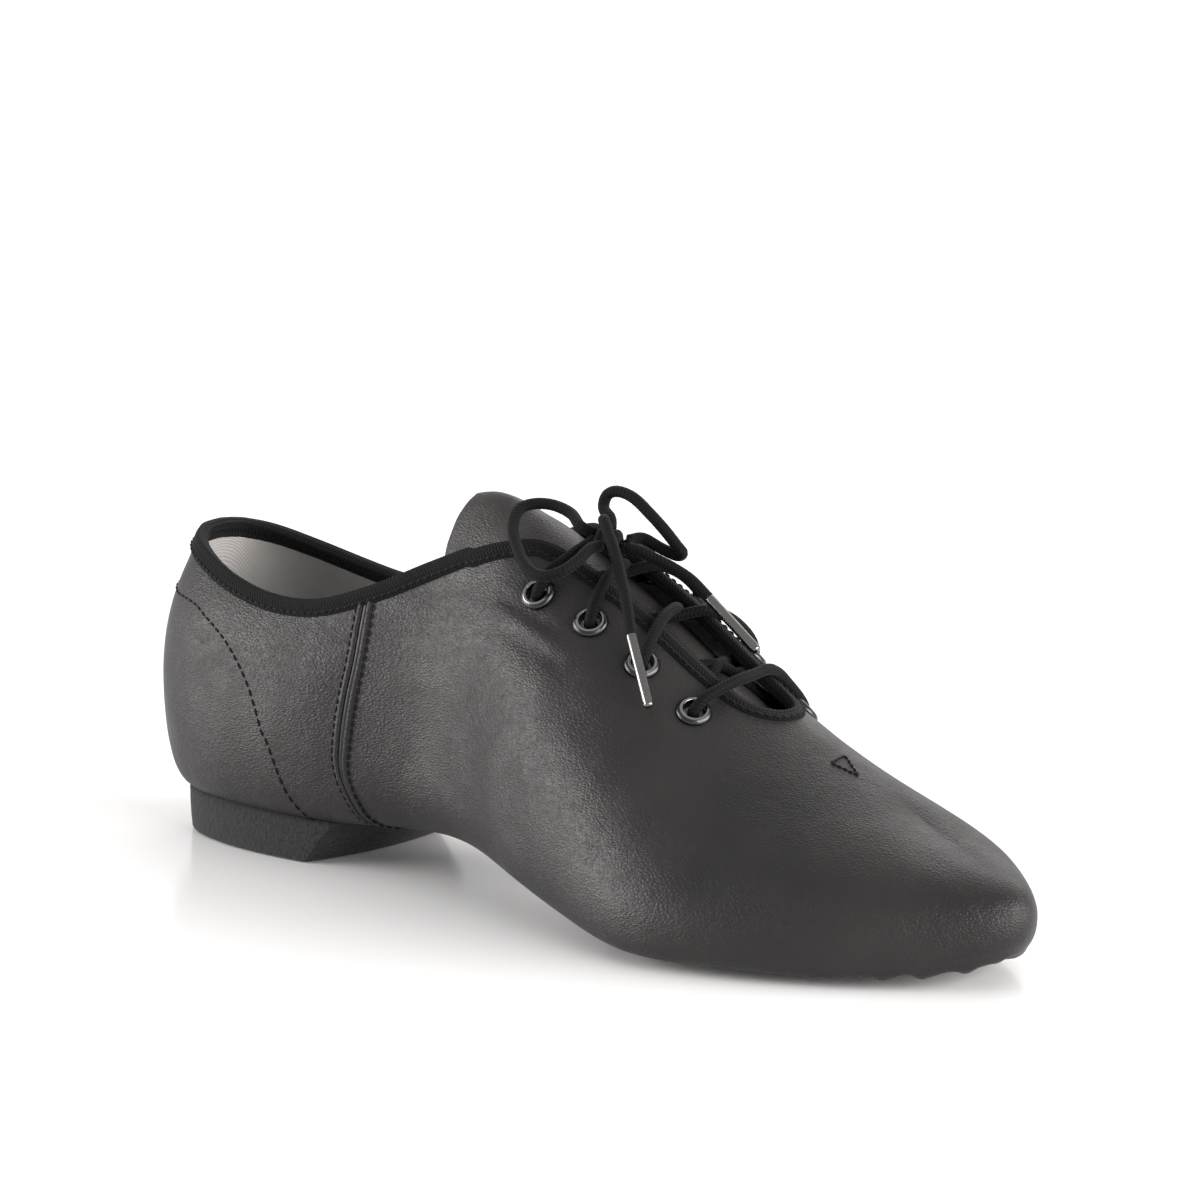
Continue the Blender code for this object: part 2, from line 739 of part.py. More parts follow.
def build_eyelet(index, outer_side, into):
    """Rolled metal ring through the leather, with a flange inside."""
    proud, back = GAP, -(WALL + GAP + EYELET_SLACK)
    outline = (
        (EYELET_HOLE, proud + EYELET_METAL),
        (EYELET_RIM - 0.0006, proud + EYELET_METAL * 1.2),
        (EYELET_RIM, proud),
        (EYELET_BARREL, proud),
        (EYELET_BARREL, back),
        (EYELET_BARREL + 0.0006, back),
        (EYELET_BARREL + 0.0006, back - 0.0003),
        (EYELET_HOLE, back - 0.0003),
    )
    segments = 12
    rings = []
    for k in range(segments):
        turn = 2 * math.pi * k / segments
        rings.append([
            np.array((r * math.cos(turn), r * math.sin(turn), z)) for r, z in outline])
    points, faces = ring_loft(rings, closed=True)
    side = "lateral" if outer_side else "medial"
    obj = mesh_object(f"eyelet_{side}_{index + 1}", points, faces, "gunmetal", into)
    obj.matrix_world = eyelet_frame(index, outer_side)[1]
    return obj


# Lace

def over_skin(x_from_back, across, lift):
    """Point above the skin; across is signed from the crest, minus on the outer side."""
    s, v = spot(x_from_back, abs(across), across < 0)
    return inside(s, v, -lift)


def bar_points(x_start, across_start, x_end, across_end):
    """A lace over the facings from one eyelet towards another."""
    points = []
    steps = 7
    for k in range(steps + 1):
        t = k / steps
        x = x_start + (x_end - x_start) * t ** BAR_LEAN
        across = across_start + (across_end - across_start) * t
        points.append(over_skin(x, across, smooth_table(abs(across), BAR_LIFTS)))
    return points


def smooth_path(points, count):
    """Evenly spaced points on a smooth curve through the given ones."""
    p = [2 * points[0] - points[1]] + list(points) + [2 * points[-1] - points[-2]]
    dense = []
    for i in range(1, len(p) - 2):
        for k in range(12):
            t = k / 12
            dense.append(0.5 * (
                2 * p[i] + (p[i + 1] - p[i - 1]) * t
                + (2 * p[i - 1] - 5 * p[i] + 4 * p[i + 1] - p[i + 2]) * t * t
                + (3 * p[i] - p[i - 1] - 3 * p[i + 1] + p[i + 2]) * t ** 3))
    dense.append(p[-2])
    lengths = np.cumsum([0] + [np.linalg.norm(b - a) for a, b in zip(dense, dense[1:])])
    marks = np.linspace(0, lengths[-1], count)
    return [np.array([np.interp(m, lengths, [d[axis] for d in dense]) for axis in range(3)])
            for m in marks]


def tube_mesh(name, points, radius, sides=6):
    """Closed tube along points, for the bars that are joined."""
    tangents = [points[min(k + 1, len(points) - 1)] - points[max(k - 1, 0)]
                for k in range(len(points))]
    tangents = [t / np.linalg.norm(t) for t in tangents]
    up = np.array((0.0, 0.0, 1.0))
    rings = []
    for point, tangent in zip(points, tangents):
        side = np.cross(tangent, up)
        side /= np.linalg.norm(side)
        top = np.cross(side, tangent)
        rings.append([
            point + radius * (side * math.cos(2 * math.pi * k / sides)
                              + top * math.sin(2 * math.pi * k / sides))
            for k in range(sides)])
    vertices, faces = ring_loft(rings, closed=False, caps=True)
    bm = bmesh.new()
    verts = [bm.verts.new(tuple(p)) for p in vertices]
    for face in faces:
        bm.faces.new([verts[k] for k in face])
    bmesh.ops.recalc_face_normals(bm, faces=bm.faces)
    mesh = bpy.data.meshes.new(name)
    bm.to_mesh(mesh)
    bm.free()
    return mesh


def build_lace_bars(into, cutters):
    """The crossings over the throat, joined where they meet above the eyelets."""
    rows = [EYELET_FIRST + EYELET_PITCH * k for k in range(4)]
    runs = [(rows[3], -BAR_END, rows[3], BAR_END)]
    for upper_row, lower_row in zip(rows, rows[1:]):
        runs.append((lower_row, -BAR_END, upper_row, BAR_END))
        runs.append((lower_row, BAR_END, upper_row, -BAR_END))
    for side in (-1, 1):
        runs.append((rows[0], side * BAR_END, ROOT[0], side * ROOT[1]))
    mesh = tube_mesh("lace_bars", bar_points(*runs[0]), LACE / 2)
    bars = add_object("lace_bars", mesh, "lace", into)
    for number, run in enumerate(runs[1:], start=1):
        label = f"bar_{number}"
        tool = cutter(label, tube_mesh(label, bar_points(*run), LACE / 2), cutters)
        boolean(bars, tool, "UNION")
    return bars


def local(x_from_back, y, z):
    return np.array((x_from_back + HEEL_BACK, y, z))


# Routes of the free lace, set by hand: distance from the heel's back, y, z
KNOT_ROUTE = (
    local(0.1280, -0.0012, 0.0819), local(0.1300, 0.0008, 0.0824),
    local(0.1318, 0.0028, 0.0818), local(0.1328, 0.0044, 0.0807))
LATERAL_LOOP = (
    local(0.1246, -0.0022, 0.0846), local(0.1196, 0.0000, 0.0864),
    local(0.1146, -0.0005, 0.0877), local(0.1111, -0.0030, 0.0879),
    local(0.1095, -0.0062, 0.0868), local(0.1115, -0.0101, 0.0839),
    local(0.1165, -0.0140, 0.0806), local(0.1231, -0.0174, 0.0774),
    local(0.1282, -0.0181, 0.0763), local(0.1320, -0.0160, 0.0773),
    local(0.1328, -0.0116, 0.0793), local(0.1320, -0.0068, 0.0812))
MEDIAL_LOOP = (
    local(0.1262, 0.0056, 0.0855), local(0.1224, 0.0074, 0.0870),
    local(0.1221, 0.0088, 0.0897), local(0.1248, 0.0095, 0.0908),
    local(0.1292, 0.0100, 0.0898), local(0.1340, 0.0105, 0.0866),
    local(0.1380, 0.0109, 0.0835), local(0.1412, 0.0112, 0.0806),
    local(0.1426, 0.0115, 0.0791), local(0.1408, 0.0117, 0.0783),
    local(0.1370, 0.0108, 0.0794), local(0.1330, 0.0090, 0.0814))
LATERAL_END = (
    local(0.1304, -0.0008, 0.0866), local(0.1345, -0.0030, 0.0834),
    local(0.1384, -0.0050, 0.0797), local(0.1428, -0.0077, 0.0753),
    local(0.1472, -0.0108, 0.0712), local(0.1510, -0.0136, 0.0667))
MEDIAL_END = (
    local(0.1374, 0.0042, 0.0796), local(0.1402, 0.0055, 0.0783),
    local(0.1438, 0.0070, 0.0767), local(0.1484, 0.0082, 0.0744),
    local(0.1527, 0.0087, 0.0713))
LATERAL_AGLET = (local(0.1514, -0.0139, 0.0661), local(0.1628, -0.0200, 0.0526))
MEDIAL_AGLET = (local(0.1532, 0.0088, 0.0710), local(0.1668, 0.0099, 0.0610))
AGLET_WIDTH = 0.0024
KNOT_WIDTH = 0.0052


def build_cord(name, route, count, width, finish, into):
    """Lace piece: a poly curve with a round section and filled ends."""
    curve = bpy.data.curves.new(name, "CURVE")
    curve.dimensions = "3D"
    curve.bevel_depth = width / 2
    curve.bevel_resolution = 2
    curve.use_fill_caps = True
    points = smooth_path(list(route), count)
    spline = curve.splines.new("POLY")
    spline.points.add(len(points) - 1)
    for target, point in zip(spline.points, points):
        target.co = (*point, 1.0)
    return add_object(name, curve, finish, into)


def build_free_lace(into):
    build_cord("lace_knot", KNOT_ROUTE, 4, KNOT_WIDTH, "lace", into)
    build_cord("lace_loop_lateral", LATERAL_LOOP, 20, LACE, "lace", into)
    build_cord("lace_loop_medial", MEDIAL_LOOP, 20, LACE, "lace", into)
    build_cord("lace_end_lateral", LATERAL_END, 8, LACE, "lace", into)
    build_cord("lace_end_medial", MEDIAL_END, 8, LACE, "lace", into)
    build_cord("aglet_lateral", LATERAL_AGLET, 2, AGLET_WIDTH, "aglet", into)
    build_cord("aglet_medial", MEDIAL_AGLET, 2, AGLET_WIDTH, "aglet", into)


def main():
    for obj in list(bpy.data.objects):
        bpy.data.objects.remove(obj, do_unlink=True)
    parts = collection("jazz_shoe")
    cutters = collection("cutters", hidden=True)
    build_upper(parts, cutters)
    build_forefoot_sole(parts)
    build_heel(parts)
    build_insole(parts)
    build_tongue(parts)
    build_binding(parts)
    build_seam_tape("side_seam_tape_lateral", True, parts)
    build_seam_tape("side_seam_tape_medial", False, parts)
    for outer_side in (True, False):
        for index in range(4):
            build_eyelet(index, outer_side, parts)
    build_lace_bars(parts, cutters)
    build_free_lace(parts)


main()
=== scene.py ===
"""Looks of the right jazz shoe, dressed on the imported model.

Metres, +Z up, +X towards the toe, -Y on the outer (lateral) side.
Distances named from_back run from the back of the heel.
"""
import math
import bmesh
import bpy
import numpy as np
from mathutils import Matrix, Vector


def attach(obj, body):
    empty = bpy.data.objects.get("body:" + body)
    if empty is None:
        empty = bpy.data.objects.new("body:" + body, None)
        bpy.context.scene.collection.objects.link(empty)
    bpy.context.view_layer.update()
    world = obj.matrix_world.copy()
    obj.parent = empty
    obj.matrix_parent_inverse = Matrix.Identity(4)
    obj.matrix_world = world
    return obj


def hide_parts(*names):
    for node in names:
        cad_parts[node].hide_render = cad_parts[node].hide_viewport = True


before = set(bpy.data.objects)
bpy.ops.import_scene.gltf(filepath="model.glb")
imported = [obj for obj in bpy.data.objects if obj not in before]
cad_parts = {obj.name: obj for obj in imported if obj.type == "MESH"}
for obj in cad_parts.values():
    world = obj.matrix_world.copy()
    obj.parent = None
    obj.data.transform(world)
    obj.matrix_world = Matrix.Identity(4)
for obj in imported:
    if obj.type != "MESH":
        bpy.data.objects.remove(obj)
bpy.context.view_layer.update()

# Driving sizes, as in the part
LENGTH = 0.250
BALL_WIDTH = 0.082
INSTEP = 0.082
HEEL_HEIGHT = 0.0105
WALL = 0.0014
GAP = 0.0003
HEEL_BACK = -0.034

# Sections, the same as in the part. These are rounded results of a least-squares fit
# to the outline in the photograph, not numbers set by hand.
SECTION_COLUMNS = (
    "x", "lateral", "medial", "belly", "tuck", "feather_lat", "feather_med",
    "crest_x", "crest_y", "crest_z", "rise", "flat")
SECTIONS = (
    (0.000, 0.000, 0.000, 0.449, 0.091, 1.00, 1.00, 0.168, 0.000, 0.927, 0.88, 0.56),
    (0.020, 0.207, 0.207, 0.443, 0.093, 1.00, 1.00, 0.176, 0.000, 0.912, 0.80, 0.57),
    (0.080, 0.322, 0.324, 0.418, 0.096, 1.00, 1.00, 0.200, 0.000, 0.912, 0.62, 0.52),
    (0.168, 0.357, 0.356, 0.385, 0.098, 1.00, 1.00, 0.240, 0.000, 0.937, 0.49, 0.49),
    (0.272, 0.320, 0.349, 0.359, 0.104, 1.00, 1.02, 0.304, 0.000, 1.022, 0.46, 0.48),
    (0.380, 0.263, 0.354, 0.329, 0.115, 1.09, 1.36, 0.392, 0.009, 1.104, 0.51, 0.52),
    (0.488, 0.348, 0.429, 0.274, 0.111, 0.81, 1.02, 0.480, 0.034, 0.999, 0.57, 0.53),
    (0.592, 0.435, 0.500, 0.198, 0.090, 0.43, 0.46, 0.568, 0.065, 0.856, 0.51, 0.50),
    (0.688, 0.494, 0.490, 0.137, 0.068, 0.22, 0.22, 0.648, 0.087, 0.704, 0.41, 0.41),
    (0.776, 0.452, 0.461, 0.124, 0.061, 0.22, 0.22, 0.716, 0.107, 0.584, 0.40, 0.37),
    (0.856, 0.344, 0.415, 0.134, 0.062, 0.23, 0.23, 0.772, 0.118, 0.500, 0.48, 0.39),
    (0.920, 0.218, 0.334, 0.148, 0.070, 0.29, 0.31, 0.816, 0.121, 0.445, 0.56, 0.45),
    (0.972, 0.080, 0.202, 0.166, 0.080, 0.44, 0.48, 0.844, 0.121, 0.408, 0.60, 0.50),
    (1.000, -0.061, 0.061, 0.193, 0.093, 0.68, 0.68, 0.860, 0.120, 0.386, 0.62, 0.55),
)
TOE = len(SECTIONS) - 1
TURN = 2 * TOE

# Topline: distance from the heel's back, height. Worked out from the near and far rim by a
# script, then adjusted by hand.
TOPLINE = (
    (-0.010, 0.0712), (0.005, 0.0700), (0.012, 0.0678), (0.020, 0.0654), (0.033, 0.0622),
    (0.048, 0.0603), (0.060, 0.0612), (0.075, 0.0663), (0.090, 0.0732), (0.104, 0.0790),
    (0.118, 0.0832), (0.140, 0.0900),
)
MEDIAL_DROP = 0.0020
QUARTER_ROUND = 0.0045
THROAT_TIP = 0.1770
THROAT_ROUND = 0.0090
THROAT_HALF = 0.0073
THROAT_FROM = 0.100

TAPE_LEG = 0.0038
TAPE_LEG_AT_TIP = 0.0027
TONGUE = 0.0016
TONGUE_DEPTH = 0.0036
TONGUE_SPAN = (4.61, 10.3)
TONGUE_WING = 0.66
TONGUE_CORNER = 0.4
INSOLE = 0.0020
SOLE = 0.0020
SOLE_INSET = 0.20
SOLE_START = 6.55
HEEL_OUTSET = 0.0018
HEEL_TAPER = 0.0005
BREAST = 0.0557
BREAST_SLANT = 0.0080
BREAST_BULGE = 0.0030

EYELET_FIRST = 0.1235
EYELET_PITCH = 0.0144
EYELET_ASIDE = 0.0176
EYELET_RIM = 0.0040
EYELET_HOLE = 0.0024
EYELET_ROWS = [EYELET_FIRST + EYELET_PITCH * k for k in range(4)]
LACE = 0.0026
AGLET_WIDTH = 0.0024

# Camera: results of the same least-squares fit
CAMERA_AZIMUTH = math.radians(44.29)
CAMERA_HEIGHT_ANGLE = math.radians(11.79)
CAMERA_DISTANCE = 1.83043
CAMERA_AIM = (0.12847 + HEEL_BACK, 0.0, 0.06821)
CAMERA_LENS = 248.8


def local(from_back, y, z):
    return np.array((from_back + HEEL_BACK, y, z))


# Routes of the free lace, the same as in the part. Picked by eye in the photograph and
# turned into points in space by a script.
LATERAL_LOOP = (
    local(0.1246, -0.0022, 0.0846), local(0.1196, 0.0000, 0.0864),
    local(0.1146, -0.0005, 0.0877), local(0.1111, -0.0030, 0.0879),
    local(0.1095, -0.0062, 0.0868), local(0.1115, -0.0101, 0.0839),
    local(0.1165, -0.0140, 0.0806), local(0.1231, -0.0174, 0.0774),
    local(0.1282, -0.0181, 0.0763), local(0.1320, -0.0160, 0.0773),
    local(0.1328, -0.0116, 0.0793), local(0.1320, -0.0068, 0.0812))
MEDIAL_LOOP = (
    local(0.1262, 0.0056, 0.0855), local(0.1224, 0.0074, 0.0870),
    local(0.1221, 0.0088, 0.0897), local(0.1248, 0.0095, 0.0908),
    local(0.1292, 0.0100, 0.0898), local(0.1340, 0.0105, 0.0866),
    local(0.1380, 0.0109, 0.0835), local(0.1412, 0.0112, 0.0806),
    local(0.1426, 0.0115, 0.0791), local(0.1408, 0.0117, 0.0783),
    local(0.1370, 0.0108, 0.0794), local(0.1330, 0.0090, 0.0814))
LATERAL_END = (
    local(0.1304, -0.0008, 0.0866), local(0.1345, -0.0030, 0.0834),
    local(0.1384, -0.0050, 0.0797), local(0.1428, -0.0077, 0.0753),
    local(0.1472, -0.0108, 0.0712), local(0.1510, -0.0136, 0.0667))
MEDIAL_END = (
    local(0.1374, 0.0042, 0.0796), local(0.1402, 0.0055, 0.0783),
    local(0.1438, 0.0070, 0.0767), local(0.1484, 0.0082, 0.0744),
    local(0.1527, 0.0087, 0.0713))
LATERAL_AGLET = (local(0.1514, -0.0139, 0.0661), local(0.1628, -0.0200, 0.0526))
MEDIAL_AGLET = (local(0.1532, 0.0088, 0.0710), local(0.1668, 0.0099, 0.0610))
KNOT_START = local(0.1280, -0.0012, 0.0819)
KNOT_END = local(0.1328, 0.0044, 0.0807)
KNOT_MIDDLE = (KNOT_START + KNOT_END) / 2


# The last, for whole arrays of loop and profile positions

def section_knots():
    order = list(range(TOE + 1)) + list(range(TOE - 1, 0, -1))
    knots = []
    for place, index in enumerate(order):
        row = dict(zip(SECTION_COLUMNS, SECTIONS[index]))
        outer = place <= TOE
        knots.append((
            row["x"] * LENGTH + HEEL_BACK,
            (-row["lateral"] if outer else row["medial"]) * BALL_WIDTH,
            row["belly"] * INSTEP,
            row["tuck"] * BALL_WIDTH,
            (row["feather_lat"] if outer else row["feather_med"]) * HEEL_HEIGHT,
            row["crest_x"] * LENGTH + HEEL_BACK,
            row["crest_y"] * BALL_WIDTH,
            row["crest_z"] * INSTEP,
            row["rise"],
            row["flat"],
        ))
    return np.array(knots)


def loop_slopes(knots):
    count = len(knots)
    step = np.roll(np.eye(count), 1, 0)
    matrix = 4 * np.eye(count) + step + step.T
    return np.linalg.solve(matrix, 3 * (np.roll(knots, -1, 0) - np.roll(knots, 1, 0)))


KNOTS = section_knots()
SLOPES = loop_slopes(KNOTS)


def rows_at(s):
    s = np.mod(s, TURN)
    i = np.minimum(s.astype(int), TURN - 1)
    j = (i + 1) % TURN
    t = (s - i)[:, None]
    ease = t * t * (3 - 2 * t)
    return (KNOTS[i] * (1 - ease) + KNOTS[j] * ease
            + SLOPES[i] * t * (1 - t) ** 2 - SLOPES[j] * t * t * (1 - t))


def outward(s):
    along = rows_at(s + 1e-3) - rows_at(s - 1e-3)
    normal = np.stack((along[:, 1], -along[:, 0], 0 * s), 1)
    return normal / np.linalg.norm(normal, axis=1)[:, None]


def crest_slope(s):
    m = np.mod(s, TURN)
    m = np.clip(np.minimum(m, TURN - m), 0.4, TOE - 0.4)
    ahead, behind = rows_at(m + 0.1), rows_at(m - 0.1)
    return (ahead[:, 7] - behind[:, 7]) / (ahead[:, 5] - behind[:, 5])


def bezier(a, b, c, d, t):
    u = 1 - t
    return a * u ** 3 + 3 * b * u * u * t + 3 * c * u * t * t + d * t ** 3


def feather(s):
    row = rows_at(s)
    point = np.stack((row[:, 0], row[:, 1], row[:, 4]), 1) - outward(s) * row[:, 3:4]
    point[:, 2] = row[:, 4]
    return point


def feather_heights(sign):
    line = feather(sign * np.arange(4 * TOE + 1) / 4)
    return line[:, 0], line[:, 2]


OUTER_HEIGHTS = feather_heights(1)
INNER_HEIGHTS = feather_heights(-1)


def underside(x, across):
    outer, inner = np.interp(x, *OUTER_HEIGHTS), np.interp(x, *INNER_HEIGHTS)
    return outer + (inner - outer) * (1 + across) / 2


def spine(s):
    x = rows_at(s)[:, 5]
    return np.stack((x, (feather(s)[:, 1] + feather(-s)[:, 1]) / 2, underside(x, 0.0)), 1)


def skin(s, v):
    """Outer face of the leather: v -1..0 under the foot, 0..1 to the belly, 1..2 to the crest."""
    s, v = np.broadcast_arrays(np.asarray(s, float), np.asarray(v, float))
    shape = s.shape
    s, v = s.ravel(), v.ravel()
    row = rows_at(s)
    edge = feather(s)
    away = outward(s)
    belly = row[:, 0:3]
    t = np.clip(v, 0, 1)[:, None]
    up = np.zeros_like(belly)
    up[:, 2] = (row[:, 2] - row[:, 4]) * 0.55
    side = bezier(edge, edge + away * row[:, 3:4] * 0.75, belly - up, belly, t)
    crest = row[:, 5:8]
    across = belly - crest
    across[:, 2] = 0.0
    reach = np.linalg.norm(across, axis=1)[:, None]
    aside = across / reach
    aside[:, 2] = crest_slope(s) * aside[:, 0]
    lift = np.zeros_like(belly)
    lift[:, 2] = row[:, 8] * (row[:, 7] - row[:, 2])
    t = np.clip(v - 1, 0, 1)[:, None]
    top = bezier(belly, belly + lift, crest + aside * reach * row[:, 9:10], crest, t)
    under = edge + (spine(s) - edge) * -v[:, None]
    under[:, 2] = underside(under[:, 0], np.where(np.mod(s, TURN) <= TOE, -1, 1) * (1 + v))
    v = v[:, None]
    return np.where(v < 0, under, np.where(v <= 1, side, top)).reshape(shape + (3,))


def unit(a):
    return a / np.maximum(np.linalg.norm(a, axis=-1, keepdims=True), 1e-12)


def skin_normal(s, v):
    s, v = np.broadcast_arrays(np.asarray(s, float), np.asarray(v, float))
    ds = skin(s + 0.01, v) - skin(s - 0.01, v)
    dv = skin(s, np.minimum(v + 0.01, 1.999)) - skin(s, np.minimum(v, 1.989) - 0.01)
    normal = unit(np.cross(ds, dv))
    slope = crest_slope(s.ravel()).reshape(s.shape)
    crest = unit(np.stack((-slope, 0 * slope, 1 + 0 * slope), -1))
    near = np.clip((v - 1.97) / 0.03, 0, 1)[..., None]
    return unit(normal * (1 - near) + crest * near)


def smooth_table(x, table):
    xs = np.array([row[0] for row in table])
    ys = np.array([row[1] for row in table])
    slopes = np.gradient(ys, xs)
    x = np.clip(x, xs[0], xs[-1])
    i = np.clip(np.searchsorted(xs, x, side="right") - 1, 0, len(xs) - 2)
    h = xs[i + 1] - xs[i]
    t = (x - xs[i]) / h
    u = 1 - t
    return (ys[i] * (1 + 2 * t) * u * u + ys[i + 1] * t * t * (3 - 2 * t)
            + h * (slopes[i] * t * u * u - slopes[i + 1] * t * t * u))


CREST = [(r[7] * LENGTH, r[8] * BALL_WIDTH) for r in SECTIONS]


def crest_line(from_back):
    return smooth_table(from_back, CREST)


def throat_half(from_back):
    t = np.clip((THROAT_TIP - from_back) / THROAT_ROUND, 0, 1)
    half = THROAT_HALF * np.sqrt(np.maximum(0, 1 - (1 - t) ** 2))
    return np.where((from_back > THROAT_FROM) & (from_back < THROAT_TIP), half, -0.03)


def cut_away(s, v):
    """Positive above the topline or inside the throat; the inner side of the collar is cut lower."""
    p = skin(s, v)
    from_back = p[..., 0] - HEEL_BACK
    inner_side = np.clip(p[..., 1] / 0.008, 0, 1)
    lower = MEDIAL_DROP * inner_side * np.exp(-((from_back - 0.047) / 0.040) ** 4)
    over = p[..., 2] - smooth_table(from_back, TOPLINE) + lower
    within = throat_half(from_back) - np.abs(p[..., 1] - crest_line(from_back))
    return (over + within + np.hypot(over - within, QUARTER_ROUND)) / 2


def tip_position():
    low, high = 1.0, float(TOE)
    for _ in range(40):
        mid = (low + high) / 2
        if rows_at(np.array([mid]))[0, 5] - HEEL_BACK < THROAT_TIP:
            low = mid
        else:
            high = mid
    return low


TIP = tip_position()


def top_edges(s):
    """Profile position where the leather ends, for each loop position."""
    s = np.asarray(s, float)
    levels = 1 + np.arange(0, 81) / 80
    cut = cut_away(s[:, None], levels[None, :]) > 0
    first = np.where(cut.any(1), cut.argmax(1), 80)
    high, low = levels[first], levels[np.maximum(first - 1, 0)]
    for _ in range(22):
        mid = (low + high) / 2
        above = cut_away(s, mid) > 0
        low, high = np.where(above, low, mid), np.where(above, mid, high)
    m = np.mod(s, TURN)
    open_part = np.minimum(m, TURN - m) < TIP - 1e-6
    return np.where(open_part & cut.any(1), low, 2.0)


# A map of the instep, to place things by distance from the back and from the crest

MAP_S = np.linspace(4.6, 10.4, 330)
MAP_V = np.linspace(1.35, 2.0, 130)


def instep_map(outer_side):
    s = MAP_S if outer_side else TURN - MAP_S
    grid_s, grid_v = np.meshgrid(s, MAP_V, indexing="ij")
    points = skin(grid_s, grid_v)
    from_back = points[..., 0] - HEEL_BACK
    aside = np.abs(points[..., 1] - crest_line(from_back))
    return grid_s.ravel(), grid_v.ravel(), from_back.ravel(), aside.ravel()


INSTEP_MAPS = {True: instep_map(True), False: instep_map(False)}


def spot(from_back, across):
    """s and v at a distance from the back and from the crest; across is minus on the outer side."""
    s, v, xs, asides = INSTEP_MAPS[across < 0]
    near = np.argsort((xs - from_back) ** 2 + (asides - abs(across)) ** 2)[:4]
    gap = np.sqrt((xs[near] - from_back) ** 2 + (asides[near] - abs(across)) ** 2) + 1e-6
    weight = 1 / gap
    return float((s[near] * weight).sum() / weight.sum()), float((v[near] * weight).sum() / weight.sum())


def over_skin(from_back, across, lift):
    s, v = spot(from_back, across)
    return skin(np.array([s]), np.array([v]))[0] + skin_normal(np.array([s]), np.array([v]))[0] * lift


# Materials

def finish(name, colour, roughness, metallic=0.0, specular=0.5, coat=0.0, sheen=0.0):
    """A Principled material, its node tree and its shader."""
    mat = bpy.data.materials.new(name)
    mat.use_nodes = True
    shader = mat.node_tree.nodes["Principled BSDF"]
    shader.inputs["Base Color"].default_value = (*colour, 1.0)
    shader.inputs["Roughness"].default_value = roughness
    shader.inputs["Metallic"].default_value = metallic
    shader.inputs["Specular IOR Level"].default_value = specular
    shader.inputs["Coat Weight"].default_value = coat
    shader.inputs["Coat Roughness"].default_value = 0.35
    shader.inputs["Sheen Weight"].default_value = sheen
    shader.inputs["Sheen Roughness"].default_value = 0.5
    return mat, mat.node_tree, shader


def node(tree, kind, **values):
    made = tree.nodes.new(kind)
    for key, value in values.items():
        if key in made.inputs:
            made.inputs[key].default_value = value
        else:
            setattr(made, key, value)
    return made


def maths(tree, operation, a, b=None):
    made = tree.nodes.new("ShaderNodeMath")
    made.operation = operation
    for socket, value in zip(made.inputs, (a, b)):
        if value is None:
            continue
        if isinstance(value, (int, float)):
            socket.default_value = value
        else:
            tree.links.new(value, socket)
    return made.outputs[0]


def object_coords(tree):
    return tree.nodes.new("ShaderNodeTexCoord").outputs["Object"]


def noise(tree, coords, scale, detail=3.0, roughness=0.55):
    made = node(tree, "ShaderNodeTexNoise", Scale=scale, Detail=detail, Roughness=roughness)
    tree.links.new(coords, made.inputs["Vector"])
    return made.outputs["Fac"]


def cells(tree, coords, scale, feature="DISTANCE_TO_EDGE"):
    made = node(tree, "ShaderNodeTexVoronoi", feature=feature, Scale=scale)
    tree.links.new(coords, made.inputs["Vector"])
    return made.outputs["Distance"]


def ramp(tree, value, low, high, dark, light):
    made = node(tree, "ShaderNodeMapRange")
    tree.links.new(value, made.inputs["Value"])
    made.inputs["From Min"].default_value = low
    made.inputs["From Max"].default_value = high
    made.inputs["To Min"].default_value = dark
    made.inputs["To Max"].default_value = light
    return made.outputs["Result"]


def tint(tree, shader, value, dark, light):
    made = node(tree, "ShaderNodeMix", data_type="RGBA")
    made.inputs[6].default_value = (*dark, 1.0)
    made.inputs[7].default_value = (*light, 1.0)
    tree.links.new(value, made.inputs[0])
    tree.links.new(made.outputs[2], shader.inputs["Base Color"])


def bump(tree, shader, height, strength, distance):
    made = node(tree, "ShaderNodeBump", Strength=strength, Distance=distance)
    tree.links.new(height, made.inputs["Height"])
    tree.links.new(made.outputs["Normal"], shader.inputs["Normal"])


